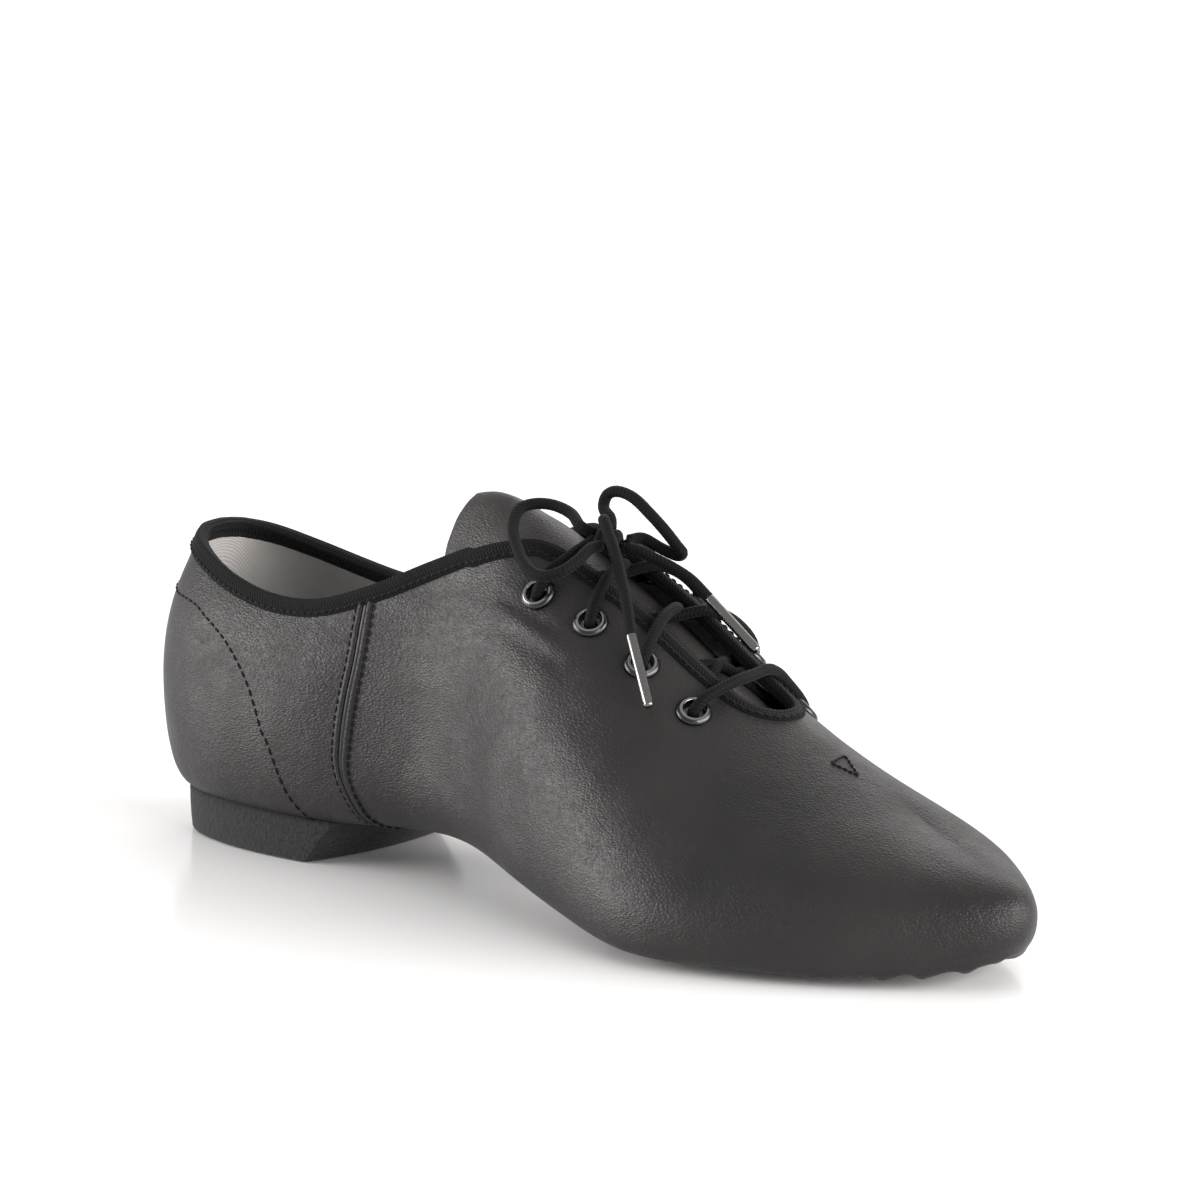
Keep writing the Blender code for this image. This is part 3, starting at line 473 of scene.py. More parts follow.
def leather_material(name, dark, light, roughness=0.42):
    """Fine slanting grain over soft unevenness."""
    mat, tree, shader = finish(name, light, roughness, specular=0.26)
    coords = object_coords(tree)
    wobble = node(tree, "ShaderNodeTexNoise", Scale=260.0, Detail=2.0)
    tree.links.new(coords, wobble.inputs["Vector"])
    shrink = node(tree, "ShaderNodeVectorMath", operation="SCALE")
    shrink.inputs["Scale"].default_value = 0.0016
    tree.links.new(wobble.outputs["Color"], shrink.inputs[0])
    warp = node(tree, "ShaderNodeVectorMath", operation="ADD")
    tree.links.new(coords, warp.inputs[0])
    tree.links.new(shrink.outputs[0], warp.inputs[1])
    lean = node(tree, "ShaderNodeMapping")
    lean.inputs["Rotation"].default_value = (0.0, math.radians(32), 0.0)
    lean.inputs["Scale"].default_value = (0.62, 0.85, 1.25)
    tree.links.new(warp.outputs[0], lean.inputs["Vector"])
    grain = cells(tree, lean.outputs[0], 1350.0)
    fine = noise(tree, lean.outputs[0], 1900.0, 3.0)
    broad = noise(tree, coords, 34.0, 2.0)
    middle = noise(tree, coords, 120.0, 2.0)
    pebble = maths(tree, "MINIMUM", maths(tree, "MULTIPLY", grain, 3.0), 1.0)
    height = maths(tree, "ADD", maths(tree, "MULTIPLY", pebble, 0.40), maths(tree, "MULTIPLY", fine, 0.55))
    height = maths(tree, "ADD", height, maths(tree, "MULTIPLY", middle, 1.1))
    height = maths(tree, "ADD", height, maths(tree, "MULTIPLY", broad, 4.5))
    bump(tree, shader, height, 0.55, 0.0003)
    mottled = ramp(tree, broad, 0.32, 0.70, 0.0, 1.0)
    tint(tree, shader, mottled, dark, light)
    rough = ramp(tree, noise(tree, coords, 95.0, 3.0), 0.3, 0.7, roughness - 0.05, roughness + 0.07)
    tree.links.new(rough, shader.inputs["Roughness"])
    return mat


def braid_height(tree, pitch, rows):
    """Chevron ribs from the UV map: u is metres along, v runs 0..1 across."""
    uv = node(tree, "ShaderNodeUVMap", uv_map="run")
    parts = node(tree, "ShaderNodeSeparateXYZ")
    tree.links.new(uv.outputs[0], parts.inputs[0])
    lane = maths(tree, "MULTIPLY", parts.outputs["Y"], rows)
    zigzag = maths(tree, "PINGPONG", lane, 1.0)
    phase = maths(tree, "ADD", maths(tree, "DIVIDE", parts.outputs["X"], pitch),
                  maths(tree, "MULTIPLY", zigzag, 0.9))
    rib = maths(tree, "ABSOLUTE", maths(tree, "SINE", maths(tree, "MULTIPLY", phase, math.pi)))
    furrow = maths(tree, "ABSOLUTE", maths(tree, "SINE", maths(tree, "MULTIPLY", lane, math.pi)))
    return maths(tree, "MULTIPLY", rib, maths(tree, "ADD", maths(tree, "MULTIPLY", furrow, 0.6), 0.4))


def braid_material(name, colour, pitch, rows, strength=0.9, roughness=0.75, sheen=0.03):
    mat, tree, shader = finish(name, colour, roughness, specular=0.12, sheen=sheen)
    coords = object_coords(tree)
    ribs = braid_height(tree, pitch, rows)
    fuzz = noise(tree, coords, 5200.0, 2.0)
    height = maths(tree, "ADD", ribs, maths(tree, "MULTIPLY", fuzz, 0.5))
    bump(tree, shader, height, strength, 0.00025)
    # Darker in the furrows between the ribs and lighter on their crests: painted shade in the grooves and
    # painted highlight on the ribs.
    tint(tree, shader, ribs, [c * 0.35 for c in colour], [c * 1.5 for c in colour])
    return mat


def woven_material(name, dark, light, scale):
    mat, tree, shader = finish(name, light, 0.9, specular=0.2, sheen=0.15)
    coords = object_coords(tree)
    warp = node(tree, "ShaderNodeTexWave", bands_direction="X", Scale=scale, Distortion=1.2)
    weft = node(tree, "ShaderNodeTexWave", bands_direction="Z", Scale=scale, Distortion=1.2)
    for wave in (warp, weft):
        tree.links.new(coords, wave.inputs["Vector"])
    weave = maths(tree, "MULTIPLY", maths(tree, "ADD", warp.outputs["Fac"], weft.outputs["Fac"]), 0.5)
    cloud = noise(tree, coords, 60.0)
    # Darker where the weave's relief is low: painted shade between the threads, with a random cloudy tone on
    # top.
    tint(tree, shader, maths(tree, "MULTIPLY", weave, maths(tree, "ADD", cloud, 0.4)), dark, light)
    bump(tree, shader, weave, 0.5, 0.0002)
    return mat


def grainy_material(name, dark, light, scale, strength, roughness):
    mat, tree, shader = finish(name, light, roughness, specular=0.25, sheen=0.1)
    coords = object_coords(tree)
    speck = noise(tree, coords, scale, 4.0, 0.7)
    pits = cells(tree, coords, scale * 0.7, "F1")
    height = maths(tree, "ADD", speck, maths(tree, "MULTIPLY", pits, 0.6))
    bump(tree, shader, height, strength, 0.0003)
    tint(tree, shader, ramp(tree, speck, 0.35, 0.68, 0.0, 1.0), dark, light)
    return mat


def metal_material(name, colour, roughness):
    mat, tree, shader = finish(name, colour, roughness, metallic=1.0)
    coords = object_coords(tree)
    rough = ramp(tree, noise(tree, coords, 900.0), 0.3, 0.7, roughness - 0.06, roughness + 0.10)
    tree.links.new(rough, shader.inputs["Roughness"])
    bump(tree, shader, noise(tree, coords, 420.0), 0.08, 0.0002)
    return mat


LEATHER = leather_material("soft_leather", (0.0105, 0.0098, 0.0096), (0.0180, 0.0166, 0.0162))
# The tongue's leather is painted lighter than the upper's, standing in for light reaching the tongue inside
# the throat.
TONGUE_LEATHER_PAINTED_LIGHTER = leather_material("tongue_leather_painted_lighter", (0.018, 0.0168, 0.0165), (0.030, 0.0278, 0.0272), 0.44)
TAPE_KNIT = braid_material("knitted_tape", (0.0028, 0.0028, 0.0030), 0.00085, 4.0, 1.0)
LACE_BRAID = braid_material("braided_lace", (0.0022, 0.0022, 0.0024), 0.00095, 6.0, 0.5)
THREAD = braid_material("sewing_thread", (0.0034, 0.0034, 0.0036), 0.0007, 2.0, 0.4, 0.6, 0.05)
LINING = woven_material("grey_lining", (0.27, 0.26, 0.25), (0.50, 0.485, 0.47), 1150.0)
SOCK = woven_material("sock_lining", (0.070, 0.067, 0.066), (0.14, 0.135, 0.13), 900.0)
PATENT = metal_material("glossy_strip", (0.0022, 0.0022, 0.0024), 0.42)
PATENT.node_tree.nodes["Principled BSDF"].inputs["Metallic"].default_value = 0.0
RUBBER = grainy_material("grainy_rubber", (0.0065, 0.0065, 0.0067), (0.0250, 0.0244, 0.0240),
                         1500.0, 0.8, 0.85)
SUEDE = grainy_material("suede_sole", (0.014, 0.0135, 0.013), (0.036, 0.034, 0.033), 1100.0, 0.8, 0.95)
GUNMETAL = metal_material("gunmetal", (0.045, 0.045, 0.048), 0.26)
# Lighter metal for the top of the eyelet's lip: a painted highlight ring where the metal catches light.
EYELET_PAINTED_HIGHLIGHT = metal_material("eyelet_painted_highlight", (0.24, 0.235, 0.23), 0.20)
AGLET_METAL = metal_material("aglet_metal", (0.16, 0.157, 0.153), 0.20)


# Mesh helpers

def add_mesh(name, points, faces, material, uvs=None, smooth=True):
    """Mesh object; uvs is one (along, across) pair for each point."""
    mesh = bpy.data.meshes.new(name)
    mesh.from_pydata([tuple(p) for p in points], [], [tuple(f) for f in faces])
    if uvs is not None:
        layer = mesh.uv_layers.new(name="run")
        loops = np.empty(len(mesh.loops), int)
        mesh.loops.foreach_get("vertex_index", loops)
        layer.data.foreach_set("uv", np.asarray(uvs, np.float32)[loops].ravel())
    mesh.materials.append(material)
    mesh.validate()
    mesh.update()
    if smooth:
        mesh.polygons.foreach_set("use_smooth", [True] * len(mesh.polygons))
    obj = bpy.data.objects.new(name, mesh)
    bpy.context.scene.collection.objects.link(obj)
    return obj


def face_out(obj):
    bm = bmesh.new()
    bm.from_mesh(obj.data)
    bmesh.ops.remove_doubles(bm, verts=bm.verts, dist=1e-6)
    bmesh.ops.recalc_face_normals(bm, faces=bm.faces)
    bm.to_mesh(obj.data)
    bm.free()
    for polygon in obj.data.polygons:
        polygon.use_smooth = True
    return obj


def place(obj, slot_name, *nodes):
    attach(obj, "root")
    if nodes:
        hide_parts(*nodes)
    return obj


def grid_faces(cols, rows, wrap=False, start=0):
    a = np.arange(cols if wrap else cols - 1)[:, None]
    k = np.arange(rows - 1)[None, :]
    b = (a + 1) % cols
    quads = np.stack((a * rows + k, b * rows + k, b * rows + k + 1, a * rows + k + 1), -1)
    return quads.reshape(-1, 4) + start


WELD_DISTANCE = 2e-6


def shell(name, outer, inner, faces, material):
    """Thin solid: a sheet, its backing sheet and walls along every open edge."""
    places = np.round(outer / WELD_DISTANCE).astype(int)
    _, first, same = np.unique(places, axis=0, return_index=True, return_inverse=True)
    outer, inner, faces = outer[first], inner[first], same.ravel()[np.asarray(faces)]
    faces = faces[[len(set(face)) == 4 for face in faces.tolist()]]
    count = len(outer)
    edges = {}
    for face in faces:
        for k in range(4):
            a, b = int(face[k]), int(face[(k + 1) % 4])
            edges[(a, b)] = edges.get((a, b), 0) + 1
    walls = [(b, a, a + count, b + count) for a, b in edges if (b, a) not in edges]
    back = faces[:, ::-1] + count
    every = [tuple(f) for f in faces] + [tuple(f) for f in back] + walls
    return face_out(add_mesh(name, np.concatenate((outer, inner)), every, material))


def smooth_path(points, spacing):
    """Evenly spaced points on a smooth curve through the given ones."""
    p = [2 * points[0] - points[1]] + list(points) + [2 * points[-1] - points[-2]]
    dense = []
    for i in range(1, len(p) - 2):
        for k in range(16):
            t = k / 16
            dense.append(0.5 * (
                2 * p[i] + (p[i + 1] - p[i - 1]) * t
                + (2 * p[i - 1] - 5 * p[i] + 4 * p[i + 1] - p[i + 2]) * t * t
                + (3 * p[i] - p[i - 1] - 3 * p[i + 1] + p[i + 2]) * t ** 3))
    dense.append(p[-2])
    dense = np.array(dense)
    lengths = np.concatenate(([0], np.cumsum(np.linalg.norm(np.diff(dense, axis=0), axis=1))))
    marks = np.linspace(0, lengths[-1], max(3, int(lengths[-1] / spacing) + 1))
    return np.stack([np.interp(marks, lengths, dense[:, axis]) for axis in range(3)], 1)


def frames_along(path):
    """Two unit directions across the path at each point, turned as little as possible."""
    tangents = unit(np.gradient(path, axis=0))
    side = np.cross(tangents[0], (0.0, 0.0, 1.0))
    if np.linalg.norm(side) < 0.1:
        side = np.cross(tangents[0], (0.0, 1.0, 0.0))
    sides = []
    for tangent in tangents:
        side = side - tangent * (side @ tangent)
        side = side / np.linalg.norm(side)
        sides.append(side)
    sides = np.array(sides)
    return tangents, sides, np.cross(tangents, sides)


def tube(name, path, radii, material, sides=14, braid=0.0):
    """Round closed tube with rounded ends and a map that runs along it."""
    path = np.asarray(path)
    tangents, side, top = frames_along(path)
    lengths = np.concatenate(([0], np.cumsum(np.linalg.norm(np.diff(path, axis=0), axis=1))))
    radii = np.broadcast_to(radii, len(path)).copy()
    turn = 2 * np.pi * np.arange(sides + 1) / sides
    along = lengths[:, None]
    ribs = 1 + braid * (np.abs(np.sin(np.pi * along / 0.00115 + 2 * turn[None, :]))
                        + np.abs(np.sin(np.pi * along / 0.00115 - 2 * turn[None, :])) - 1)
    ring = (side[:, None] * np.cos(turn)[None, :, None] + top[:, None] * np.sin(turn)[None, :, None])
    points = path[:, None] + ring * (radii[:, None] * ribs)[..., None]
    uvs = np.stack(np.broadcast_arrays(along, turn[None, :] / (2 * np.pi)), -1)
    first, last = path[0] - tangents[0] * radii[0] * 0.35, path[-1] + tangents[-1] * radii[-1] * 0.35
    points = np.concatenate((points.reshape(-1, 3), [first, last]))
    uvs = np.concatenate((uvs.reshape(-1, 2), [(0, 0.5), (lengths[-1], 0.5)]))
    faces = [tuple(f) for f in grid_faces(len(path), sides + 1)]
    end = (len(path) - 1) * (sides + 1)
    for k in range(sides):
        faces.append((k + 1, k, len(points) - 2))
        faces.append((end + k, end + k + 1, len(points) - 1))
    obj = add_mesh(name, points, faces, material, uvs)
    return face_out(obj)


def stitches(name, rows, material, pitch=0.0023, length=0.0019, radius=0.00026):
    """Rows of thread: rows holds (points, normals) pairs along each seam."""
    points, faces, uvs = [], [], []
    sides = 6
    shape = ((-0.5, 0.25, -0.9), (-0.38, 0.85, -0.15), (-0.15, 1.0, 0.35), (0.15, 1.0, 0.35),
             (0.38, 0.85, -0.15), (0.5, 0.25, -0.9))
    for line, normals in rows:
        lengths = np.concatenate(([0], np.cumsum(np.linalg.norm(np.diff(line, axis=0), axis=1))))
        count = max(1, int(round(lengths[-1] / pitch)))
        for n in range(count):
            middle = (n + 0.5) * lengths[-1] / count
            a, b, c = (np.array([np.interp(m, lengths, line[:, k]) for k in range(3)])
                       for m in (middle - 0.0004, middle, middle + 0.0004))
            normal = unit(np.array([np.interp(middle, lengths, normals[:, k]) for k in range(3)]))
            run = unit(c - a)
            across = unit(np.cross(normal, run))
            start = len(points)
            for place_along, width, rise in shape:
                for k in range(sides):
                    turn = 2 * math.pi * k / sides
                    points.append(
                        b + run * place_along * length
                        + across * math.cos(turn) * radius * width
                        + normal * (math.sin(turn) * radius * width + rise * radius))
                    uvs.append((place_along * length, k / sides))
            for ring in range(len(shape) - 1):
                for k in range(sides):
                    p, q = start + ring * sides + k, start + ring * sides + (k + 1) % sides
                    faces.append((p, q, q + sides, p + sides))
            faces.append(tuple(range(start, start + sides)))
            faces.append(tuple(range(start + 5 * sides, start + 6 * sides)))
    return face_out(add_mesh(name, points, faces, material, uvs))


# Camera

def make_camera():
    data = bpy.data.cameras.new("photo_camera")
    data.lens = CAMERA_LENS
    data.sensor_width = 36.0
    data.clip_start, data.clip_end = 0.1, 20.0
    camera = bpy.data.objects.new("photo_camera", data)
    bpy.context.scene.collection.objects.link(camera)
    back = Vector((
        math.sin(CAMERA_AZIMUTH) * math.cos(CAMERA_HEIGHT_ANGLE),
        -math.cos(CAMERA_AZIMUTH) * math.cos(CAMERA_HEIGHT_ANGLE),
        math.sin(CAMERA_HEIGHT_ANGLE)))
    camera.location = Vector(CAMERA_AIM) + back * CAMERA_DISTANCE
    camera.rotation_mode = "QUATERNION"
    camera.rotation_quaternion = (-back).to_track_quat("-Z", "Y")
    bpy.context.scene.camera = camera


make_camera()


# Free lace: two loops and two ends with metal aglets


def towards_knot(point, share=0.45):
    return point + (KNOT_MIDDLE - point) * share


def lace_loop(name, route, node_name):
    path = smooth_path([towards_knot(route[0]), *route, towards_knot(route[-1])], 0.00045)
    obj = tube(name, path, LACE / 2, LACE_BRAID, braid=0.022)
    place(obj, "lace", node_name)


def aglet(name, start, end):
    """Rolled metal sleeve with pinched ends."""
    marks = (0.0, 0.02, 0.05, 0.5, 0.93, 0.955, 0.975, 1.0)
    widths = (0.86, 0.98, 1.0, 0.98, 0.96, 0.86, 0.93, 0.72)
    path = np.array([start + (end - start) * m for m in marks])
    return tube(name, path, np.array(widths) * AGLET_WIDTH / 2, AGLET_METAL, sides=20)


def lace_end(name, route, sleeve, nodes):
    start, end = sleeve
    path = smooth_path([towards_knot(route[0]), *route, start + (end - start) * 0.06,
                        start + (end - start) * 0.5, start + (end - start) * 0.96], 0.00045)
    inside_sleeve = np.linalg.norm(path - end, axis=1) < np.linalg.norm(end - start) * 0.985
    radii = np.where(inside_sleeve, AGLET_WIDTH / 2 - 0.00018, LACE / 2)
    obj = tube(name, path, radii, LACE_BRAID, braid=0.022)
    cap = aglet(nodes[1] + "_sleeve", start, end)
    place(obj, "lace", nodes[0])
    place(cap, "aglet", nodes[1])


lace_loop("bow_loop_outer", LATERAL_LOOP, "lace_loop_lateral")
lace_loop("bow_loop_inner", MEDIAL_LOOP, "lace_loop_medial")
lace_end("bow_end_outer", LATERAL_END, LATERAL_AGLET, ("lace_end_lateral", "aglet_lateral"))
lace_end("bow_end_inner", MEDIAL_END, MEDIAL_AGLET, ("lace_end_medial", "aglet_medial"))


def build_knot():
    """Two turns of lace pulled tight round the strands that meet there."""
    axis = unit(KNOT_END - KNOT_START)
    side = unit(np.cross(axis, (0.0, 0.0, 1.0)))
    top = np.cross(side, axis)
    turns = 2.1
    path = []
    for k in range(120):
        t = k / 119
        angle = 2 * math.pi * turns * t - 0.6
        reach = 0.0017
        path.append(KNOT_START + (KNOT_END - KNOT_START) * (0.06 + 0.88 * t)
                    + (side * math.cos(angle) + top * math.sin(angle)) * reach)
    obj = tube("bow_knot", np.array(path), LACE / 2 * 0.98, LACE_BRAID, braid=0.022)
    place(obj, "lace", "lace_knot")


build_knot()


# Lacing through the eyelets

OVER_OUTER = (  # share of the pitch forward, share of the aside, lift above the skin
    (0.00, 1.00, -0.0014), (0.00, 1.00, 0.0004), (0.06, 0.86, 0.0022), (0.18, 0.62, 0.0027),
    (0.30, 0.36, 0.0022), (0.42, 0.06, 0.0008), (0.56, -0.24, -0.0018), (0.70, -0.52, -0.0038),
    (0.90, -0.86, -0.0034))
OVER_INNER = (
    (0.00, 1.00, -0.0014), (0.00, 1.00, 0.0004), (0.06, 0.86, 0.0022), (0.18, 0.62, 0.0027),
    (0.30, 0.36, 0.0016), (0.44, 0.04, -0.0022), (0.58, -0.26, -0.0036), (0.72, -0.54, -0.0042),
    (0.90, -0.86, -0.0034))
UNDER = (
    (0.00, 1.00, -0.0014), (0.06, 0.82, -0.0036), (0.28, 0.46, -0.0042), (0.50, 0.02, -0.0030),
    (0.72, -0.46, -0.0042), (0.92, -0.84, -0.0036))
BOTTOM = (
    (0.00, 1.00, -0.0014), (0.00, 1.00, 0.0004), (-0.02, 0.84, 0.0023), (-0.05, 0.60, 0.0027),
    (-0.06, 0.30, 0.0026), (-0.02, 0.0, 0.0018), (0.06, -0.28, 0.0023), (0.12, -0.52, 0.0021),
    (0.12, -0.74, 0.0014), (0.05, -0.92, 0.0008), (0.00, -1.00, 0.0000), (0.00, -1.00, -0.0014))


def strand(row, side, steps):
    """Points of one crossing that starts at an eyelet; side is -1 on the outer side."""
    return [over_skin(EYELET_ROWS[row] - share * EYELET_PITCH, side * EYELET_ASIDE * aside, lift)
            for share, aside, lift in steps]


def build_lacing():
    for name, side in (("lacing_a", -1), ("lacing_b", 1)):
        points = strand(3, side, UNDER)
        at = -side
        for row in (2, 1):
            points += strand(row, at, OVER_OUTER if at < 0 else OVER_INNER)
            at = -at
        points += [over_skin(EYELET_ROWS[0], at * EYELET_ASIDE, lift) for lift in (-0.0014, 0.0004)]
        points += [over_skin(EYELET_ROWS[0] + 0.0008, at * EYELET_ASIDE * 0.84, 0.0024),
                   over_skin(EYELET_ROWS[0] + 0.0022, at * EYELET_ASIDE * 0.55, 0.0033)]
        points.append(KNOT_START if at < 0 else KNOT_END)
        obj = tube(name, smooth_path(points, 0.0005), LACE / 2, LACE_BRAID, braid=0.022)
        place(obj, "lace", *(("lace_bars",) if side < 0 else ()))
    bar = tube("lacing_bottom", smooth_path(strand(3, -1, BOTTOM), 0.0005), LACE / 2, LACE_BRAID, braid=0.022)
    place(bar, "lace")


build_lacing()


# Upper

CREASES = (  # start s, v, end s, v, half width, height; minus is a trough
    (5.62, 1.52, 6.50, 1.585, 0.0016, -0.00034),
    (5.60, 1.48, 6.60, 1.55, 0.0018, 0.00030),
    (5.75, 1.44, 6.75, 1.52, 0.0020, -0.00036),
    (6.42, 1.60, 6.56, 1.68, 0.0013, -0.00030),
    (6.90, 1.58, 7.10, 1.68, 0.0014, -0.00032),
    (6.80, 1.54, 7.20, 1.62, 0.0018, 0.00026),
    (7.50, 1.60, 7.75, 1.69, 0.0015, -0.00030),
    (8.25, 1.66, 8.45, 1.74, 0.0016, -0.00026),
    (5.40, 1.60, 5.85, 1.66, 0.0018, 0.00026),
    (5.85, 1.33, 6.95, 1.46, 0.0045, 0.00045),
    (6.40, 1.38, 7.60, 1.50, 0.0050, -0.00045),
    (7.60, 1.50, 8.40, 1.60, 0.0045, -0.00035),
    (5.10, 1.28, 5.70, 1.46, 0.0060, 0.00070),
    (4.60, 1.38, 5.10, 1.50, 0.0055, -0.00045),
    (5.20, 1.06, 6.10, 1.22, 0.0075, -0.00065),
    (4.85, 0.62, 5.30, 1.05, 0.0075, 0.00070),
    (5.50, 0.50, 6.20, 1.00, 0.0085, -0.00050),
    (4.45, 0.20, 4.95, 0.60, 0.0070, -0.00070),
    (7.35, 0.95, 8.20, 1.36, 0.0080, -0.00050),
    (8.55, 1.10, 9.05, 1.50, 0.0090, -0.00045),
    (8.15, 1.02, 8.70, 1.42, 0.0075, 0.00040),
    (9.60, 1.30, 10.40, 1.55, 0.0090, -0.00035),
    (3.60, 1.00, 3.95, 1.35, 0.0060, 0.00045),
    (2.30, 0.92, 3.20, 0.90, 0.0080, 0.00055),
    (1.90, 1.10, 2.90, 1.12, 0.0070, -0.00045),
    (1.20, 0.55, 2.60, 0.52, 0.0080, -0.00055),
    (0.30, 1.30, 1.30, 1.34, 0.0060, -0.00040),
)
TOE_BULGE = 0.0009
TOE_PLEATS = (  # s, half width in s, depth, top v
    (9.60, 0.05, 0.0006, 0.20), (10.25, 0.06, 0.0010, 0.30), (10.80, 0.08, 0.0013, 0.28),
    (11.27, 0.10, 0.0015, 0.32), (11.82, 0.12, 0.0014, 0.30), (12.32, 0.14, 0.0009, 0.28),
    (12.72, 0.14, 0.0007, 0.26), (13.28, 0.14, 0.0007, 0.26), (13.75, 0.12, 0.0009, 0.28),
    (14.30, 0.12, 0.0012, 0.30), (14.85, 0.10, 0.0012, 0.28), (15.50, 0.08, 0.0010, 0.26))


def crease_field(points):
    """Height of the soft folds at each point; both sides of the shoe have them."""
    height = np.zeros(points.shape[:-1])
    for s0, v0, s1, v1, width, rise in CREASES:
        for sign in (1, -1):
            t = np.linspace(0, 1, 9)
            line = skin(np.mod(sign * (s0 + (s1 - s0) * t), TURN), v0 + (v1 - v0) * t)
            gap = np.full(points.shape[:-1], 1.0)
            for a, b in zip(line, line[1:]):
                run = b - a
                along = np.clip(((points - a) @ run) / (run @ run), 0, 1)
                gap = np.minimum(gap, np.linalg.norm(points - a - along[..., None] * run, axis=-1))
            ends = np.minimum(np.linalg.norm(points - line[0], axis=-1),
                              np.linalg.norm(points - line[-1], axis=-1))
            fade = np.clip(ends / (width * 2.2), 0.25, 1)
            height += rise * fade * np.exp(-(gap / width) ** 2)
    return height


def pleat_field(s, v):
    """Small gathers where the leather is drawn under the toe."""
    height = np.zeros(s.shape)
    for at, width, depth, top in TOE_PLEATS:
        fade = np.clip((top - v) / 0.16, 0, 1) * np.clip((v + 0.35) / 0.2, 0, 1)
        lean = at + 0.12 * (v - top)
        height -= depth * fade * fade * (3 - 2 * fade) * np.exp(-((s - lean) / width) ** 2)
        height += 0.3 * depth * fade * np.exp(-((s - lean - 1.9 * width) / (1.1 * width)) ** 2)
    around = np.exp(-((s - TOE) / 3.2) ** 6)
    return height + TOE_BULGE * around * np.exp(-((v - 0.10) / 0.26) ** 4)


def eyelet_places():
    found = {}
    for outer_side in (True, False):
        for index, row in enumerate(EYELET_ROWS):
            s, v = spot(row, -EYELET_ASIDE if outer_side else EYELET_ASIDE)
            one = np.array([s]), np.array([v])
            found[outer_side, index] = (s, v, skin(*one)[0], skin_normal(*one)[0])
    return found


EYELETS = eyelet_places()


def loop_columns(per_unit, extra=True):
    half = [k / per_unit for k in range(TOE * per_unit + 1)]
    if extra:
        half += [TIP - d for d in (0.27, 0.21, 0.16, 0.11, 0.07, 0.04, 0.015, 0.0)] + [TIP + 0.02]
        half += [(k + 0.5) / per_unit for k in range(int(5.2 * per_unit), int(8.4 * per_unit))]
        half += [(k + 0.5) / per_unit for k in range(int(10.1 * per_unit), TOE * per_unit)]
    half = sorted(set(round(s, 5) for s in half))
    return np.array(half + [TURN - s for s in reversed(half) if 0 < s < TOE])


def margin_end(s):
    from_back = rows_at(s)[:, 5] - HEEL_BACK
    return 0.42 + (0.978 - 0.42) * np.exp(-((from_back - 0.098) / 0.048) ** 8)


def upper_grid(columns, under_steps, side_steps, top_steps):
    tops = top_edges(columns)
    ends = margin_end(columns)
    under = -ends[:, None] * np.linspace(1, 0, under_steps, endpoint=False)[None, :]
    side = np.broadcast_to(np.linspace(0, 1, side_steps, endpoint=False), (len(columns), side_steps))
    ease = np.linspace(0, 1, top_steps)
    top = 1 + (tops - 1)[:, None] * ease[None, :]
    v = np.concatenate((under, side, top), 1)
    return np.broadcast_to(columns[:, None], v.shape), v


def soften_crest(obj):
    """Ease the leather along the middle of the vamp, where the two sides meet."""
    bm = bmesh.new()
    bm.from_mesh(obj.data)
    near = []
    for vert in bm.verts:
        from_back = vert.co.x - HEEL_BACK
        if from_back < THROAT_TIP + 0.003 or vert.co.z < 0.016:
            continue
        aside = abs(vert.co.y - float(crest_line(np.array([min(from_back, 0.215)]))[0]))
        if aside < 0.014:
            near.append(vert)
    for _ in range(24):
        bmesh.ops.smooth_vert(bm, verts=near, factor=0.5, use_axis_x=True, use_axis_y=True, use_axis_z=True)
    bm.to_mesh(obj.data)
    bm.free()


def build_upper():
    s, v = upper_grid(loop_columns(15), 9, 15, 56)
    cols, rows = v.shape
    outer, normal = skin(s, v), skin_normal(s, v)
    folds = crease_field(outer) * np.clip((v - 0.15) / 0.4, 0, 1) + pleat_field(s, v)
    around_eyelets = np.zeros(v.shape)
    for _, _, middle, _ in EYELETS.values():
        away = np.linalg.norm(outer - middle, axis=-1)
        around_eyelets += -0.00035 * np.exp(-(away / 0.0055) ** 2)
    outer = outer + normal * (folds + around_eyelets)[..., None]
    inner = outer - normal * (WALL - 0.0003)
    faces = grid_faces(cols, rows, wrap=True)
    middles = outer.reshape(-1, 3)[faces].mean(1)
    keep = np.ones(len(faces), bool)
    for _, _, middle, _ in EYELETS.values():
        keep &= np.linalg.norm(middles - middle, axis=1) > EYELET_HOLE + 0.0004
    obj = shell("leather_upper", outer.reshape(-1, 3), inner.reshape(-1, 3), faces[keep], LEATHER)
    soften_crest(obj)
    place(obj, "leather", "upper")


def build_lining():
    s, v = upper_grid(loop_columns(8, extra=False), 5, 8, 30)
    cols, rows = v.shape
    v = np.minimum(v, np.maximum(top_edges(s[:, 0])[:, None] - 0.012, 1.0))
    points, normal = skin(s, v), skin_normal(s, v)
    outer, inner = points - normal * (WALL - 0.0002), points - normal * (WALL + 0.0003)
    place(shell("textile_lining", outer.reshape(-1, 3), inner.reshape(-1, 3),
                grid_faces(cols, rows, wrap=True), LINING), "lining")


build_upper()
build_lining()


# Edge tape

def walk(s, v, move):
    """Follow the skin by a short vector from each point."""
    for _ in range(4):
        ds = (skin(s + 0.01, v) - skin(s - 0.01, v)) / 0.02
        low, high = v - 0.01, np.minimum(v + 0.01, 2.0)
        dv = (skin(s, high) - skin(s, low)) / (high - low)[:, None]
        for i in range(len(s)):
            step = np.linalg.lstsq(np.stack((ds[i], dv[i]), 1), move[i] / 4, rcond=None)[0]
            s[i], v[i] = s[i] + step[0], v[i] + step[1]
            if v[i] > 2.0:
                s[i], v[i] = TURN - s[i], 4.0 - v[i]
    return s, v


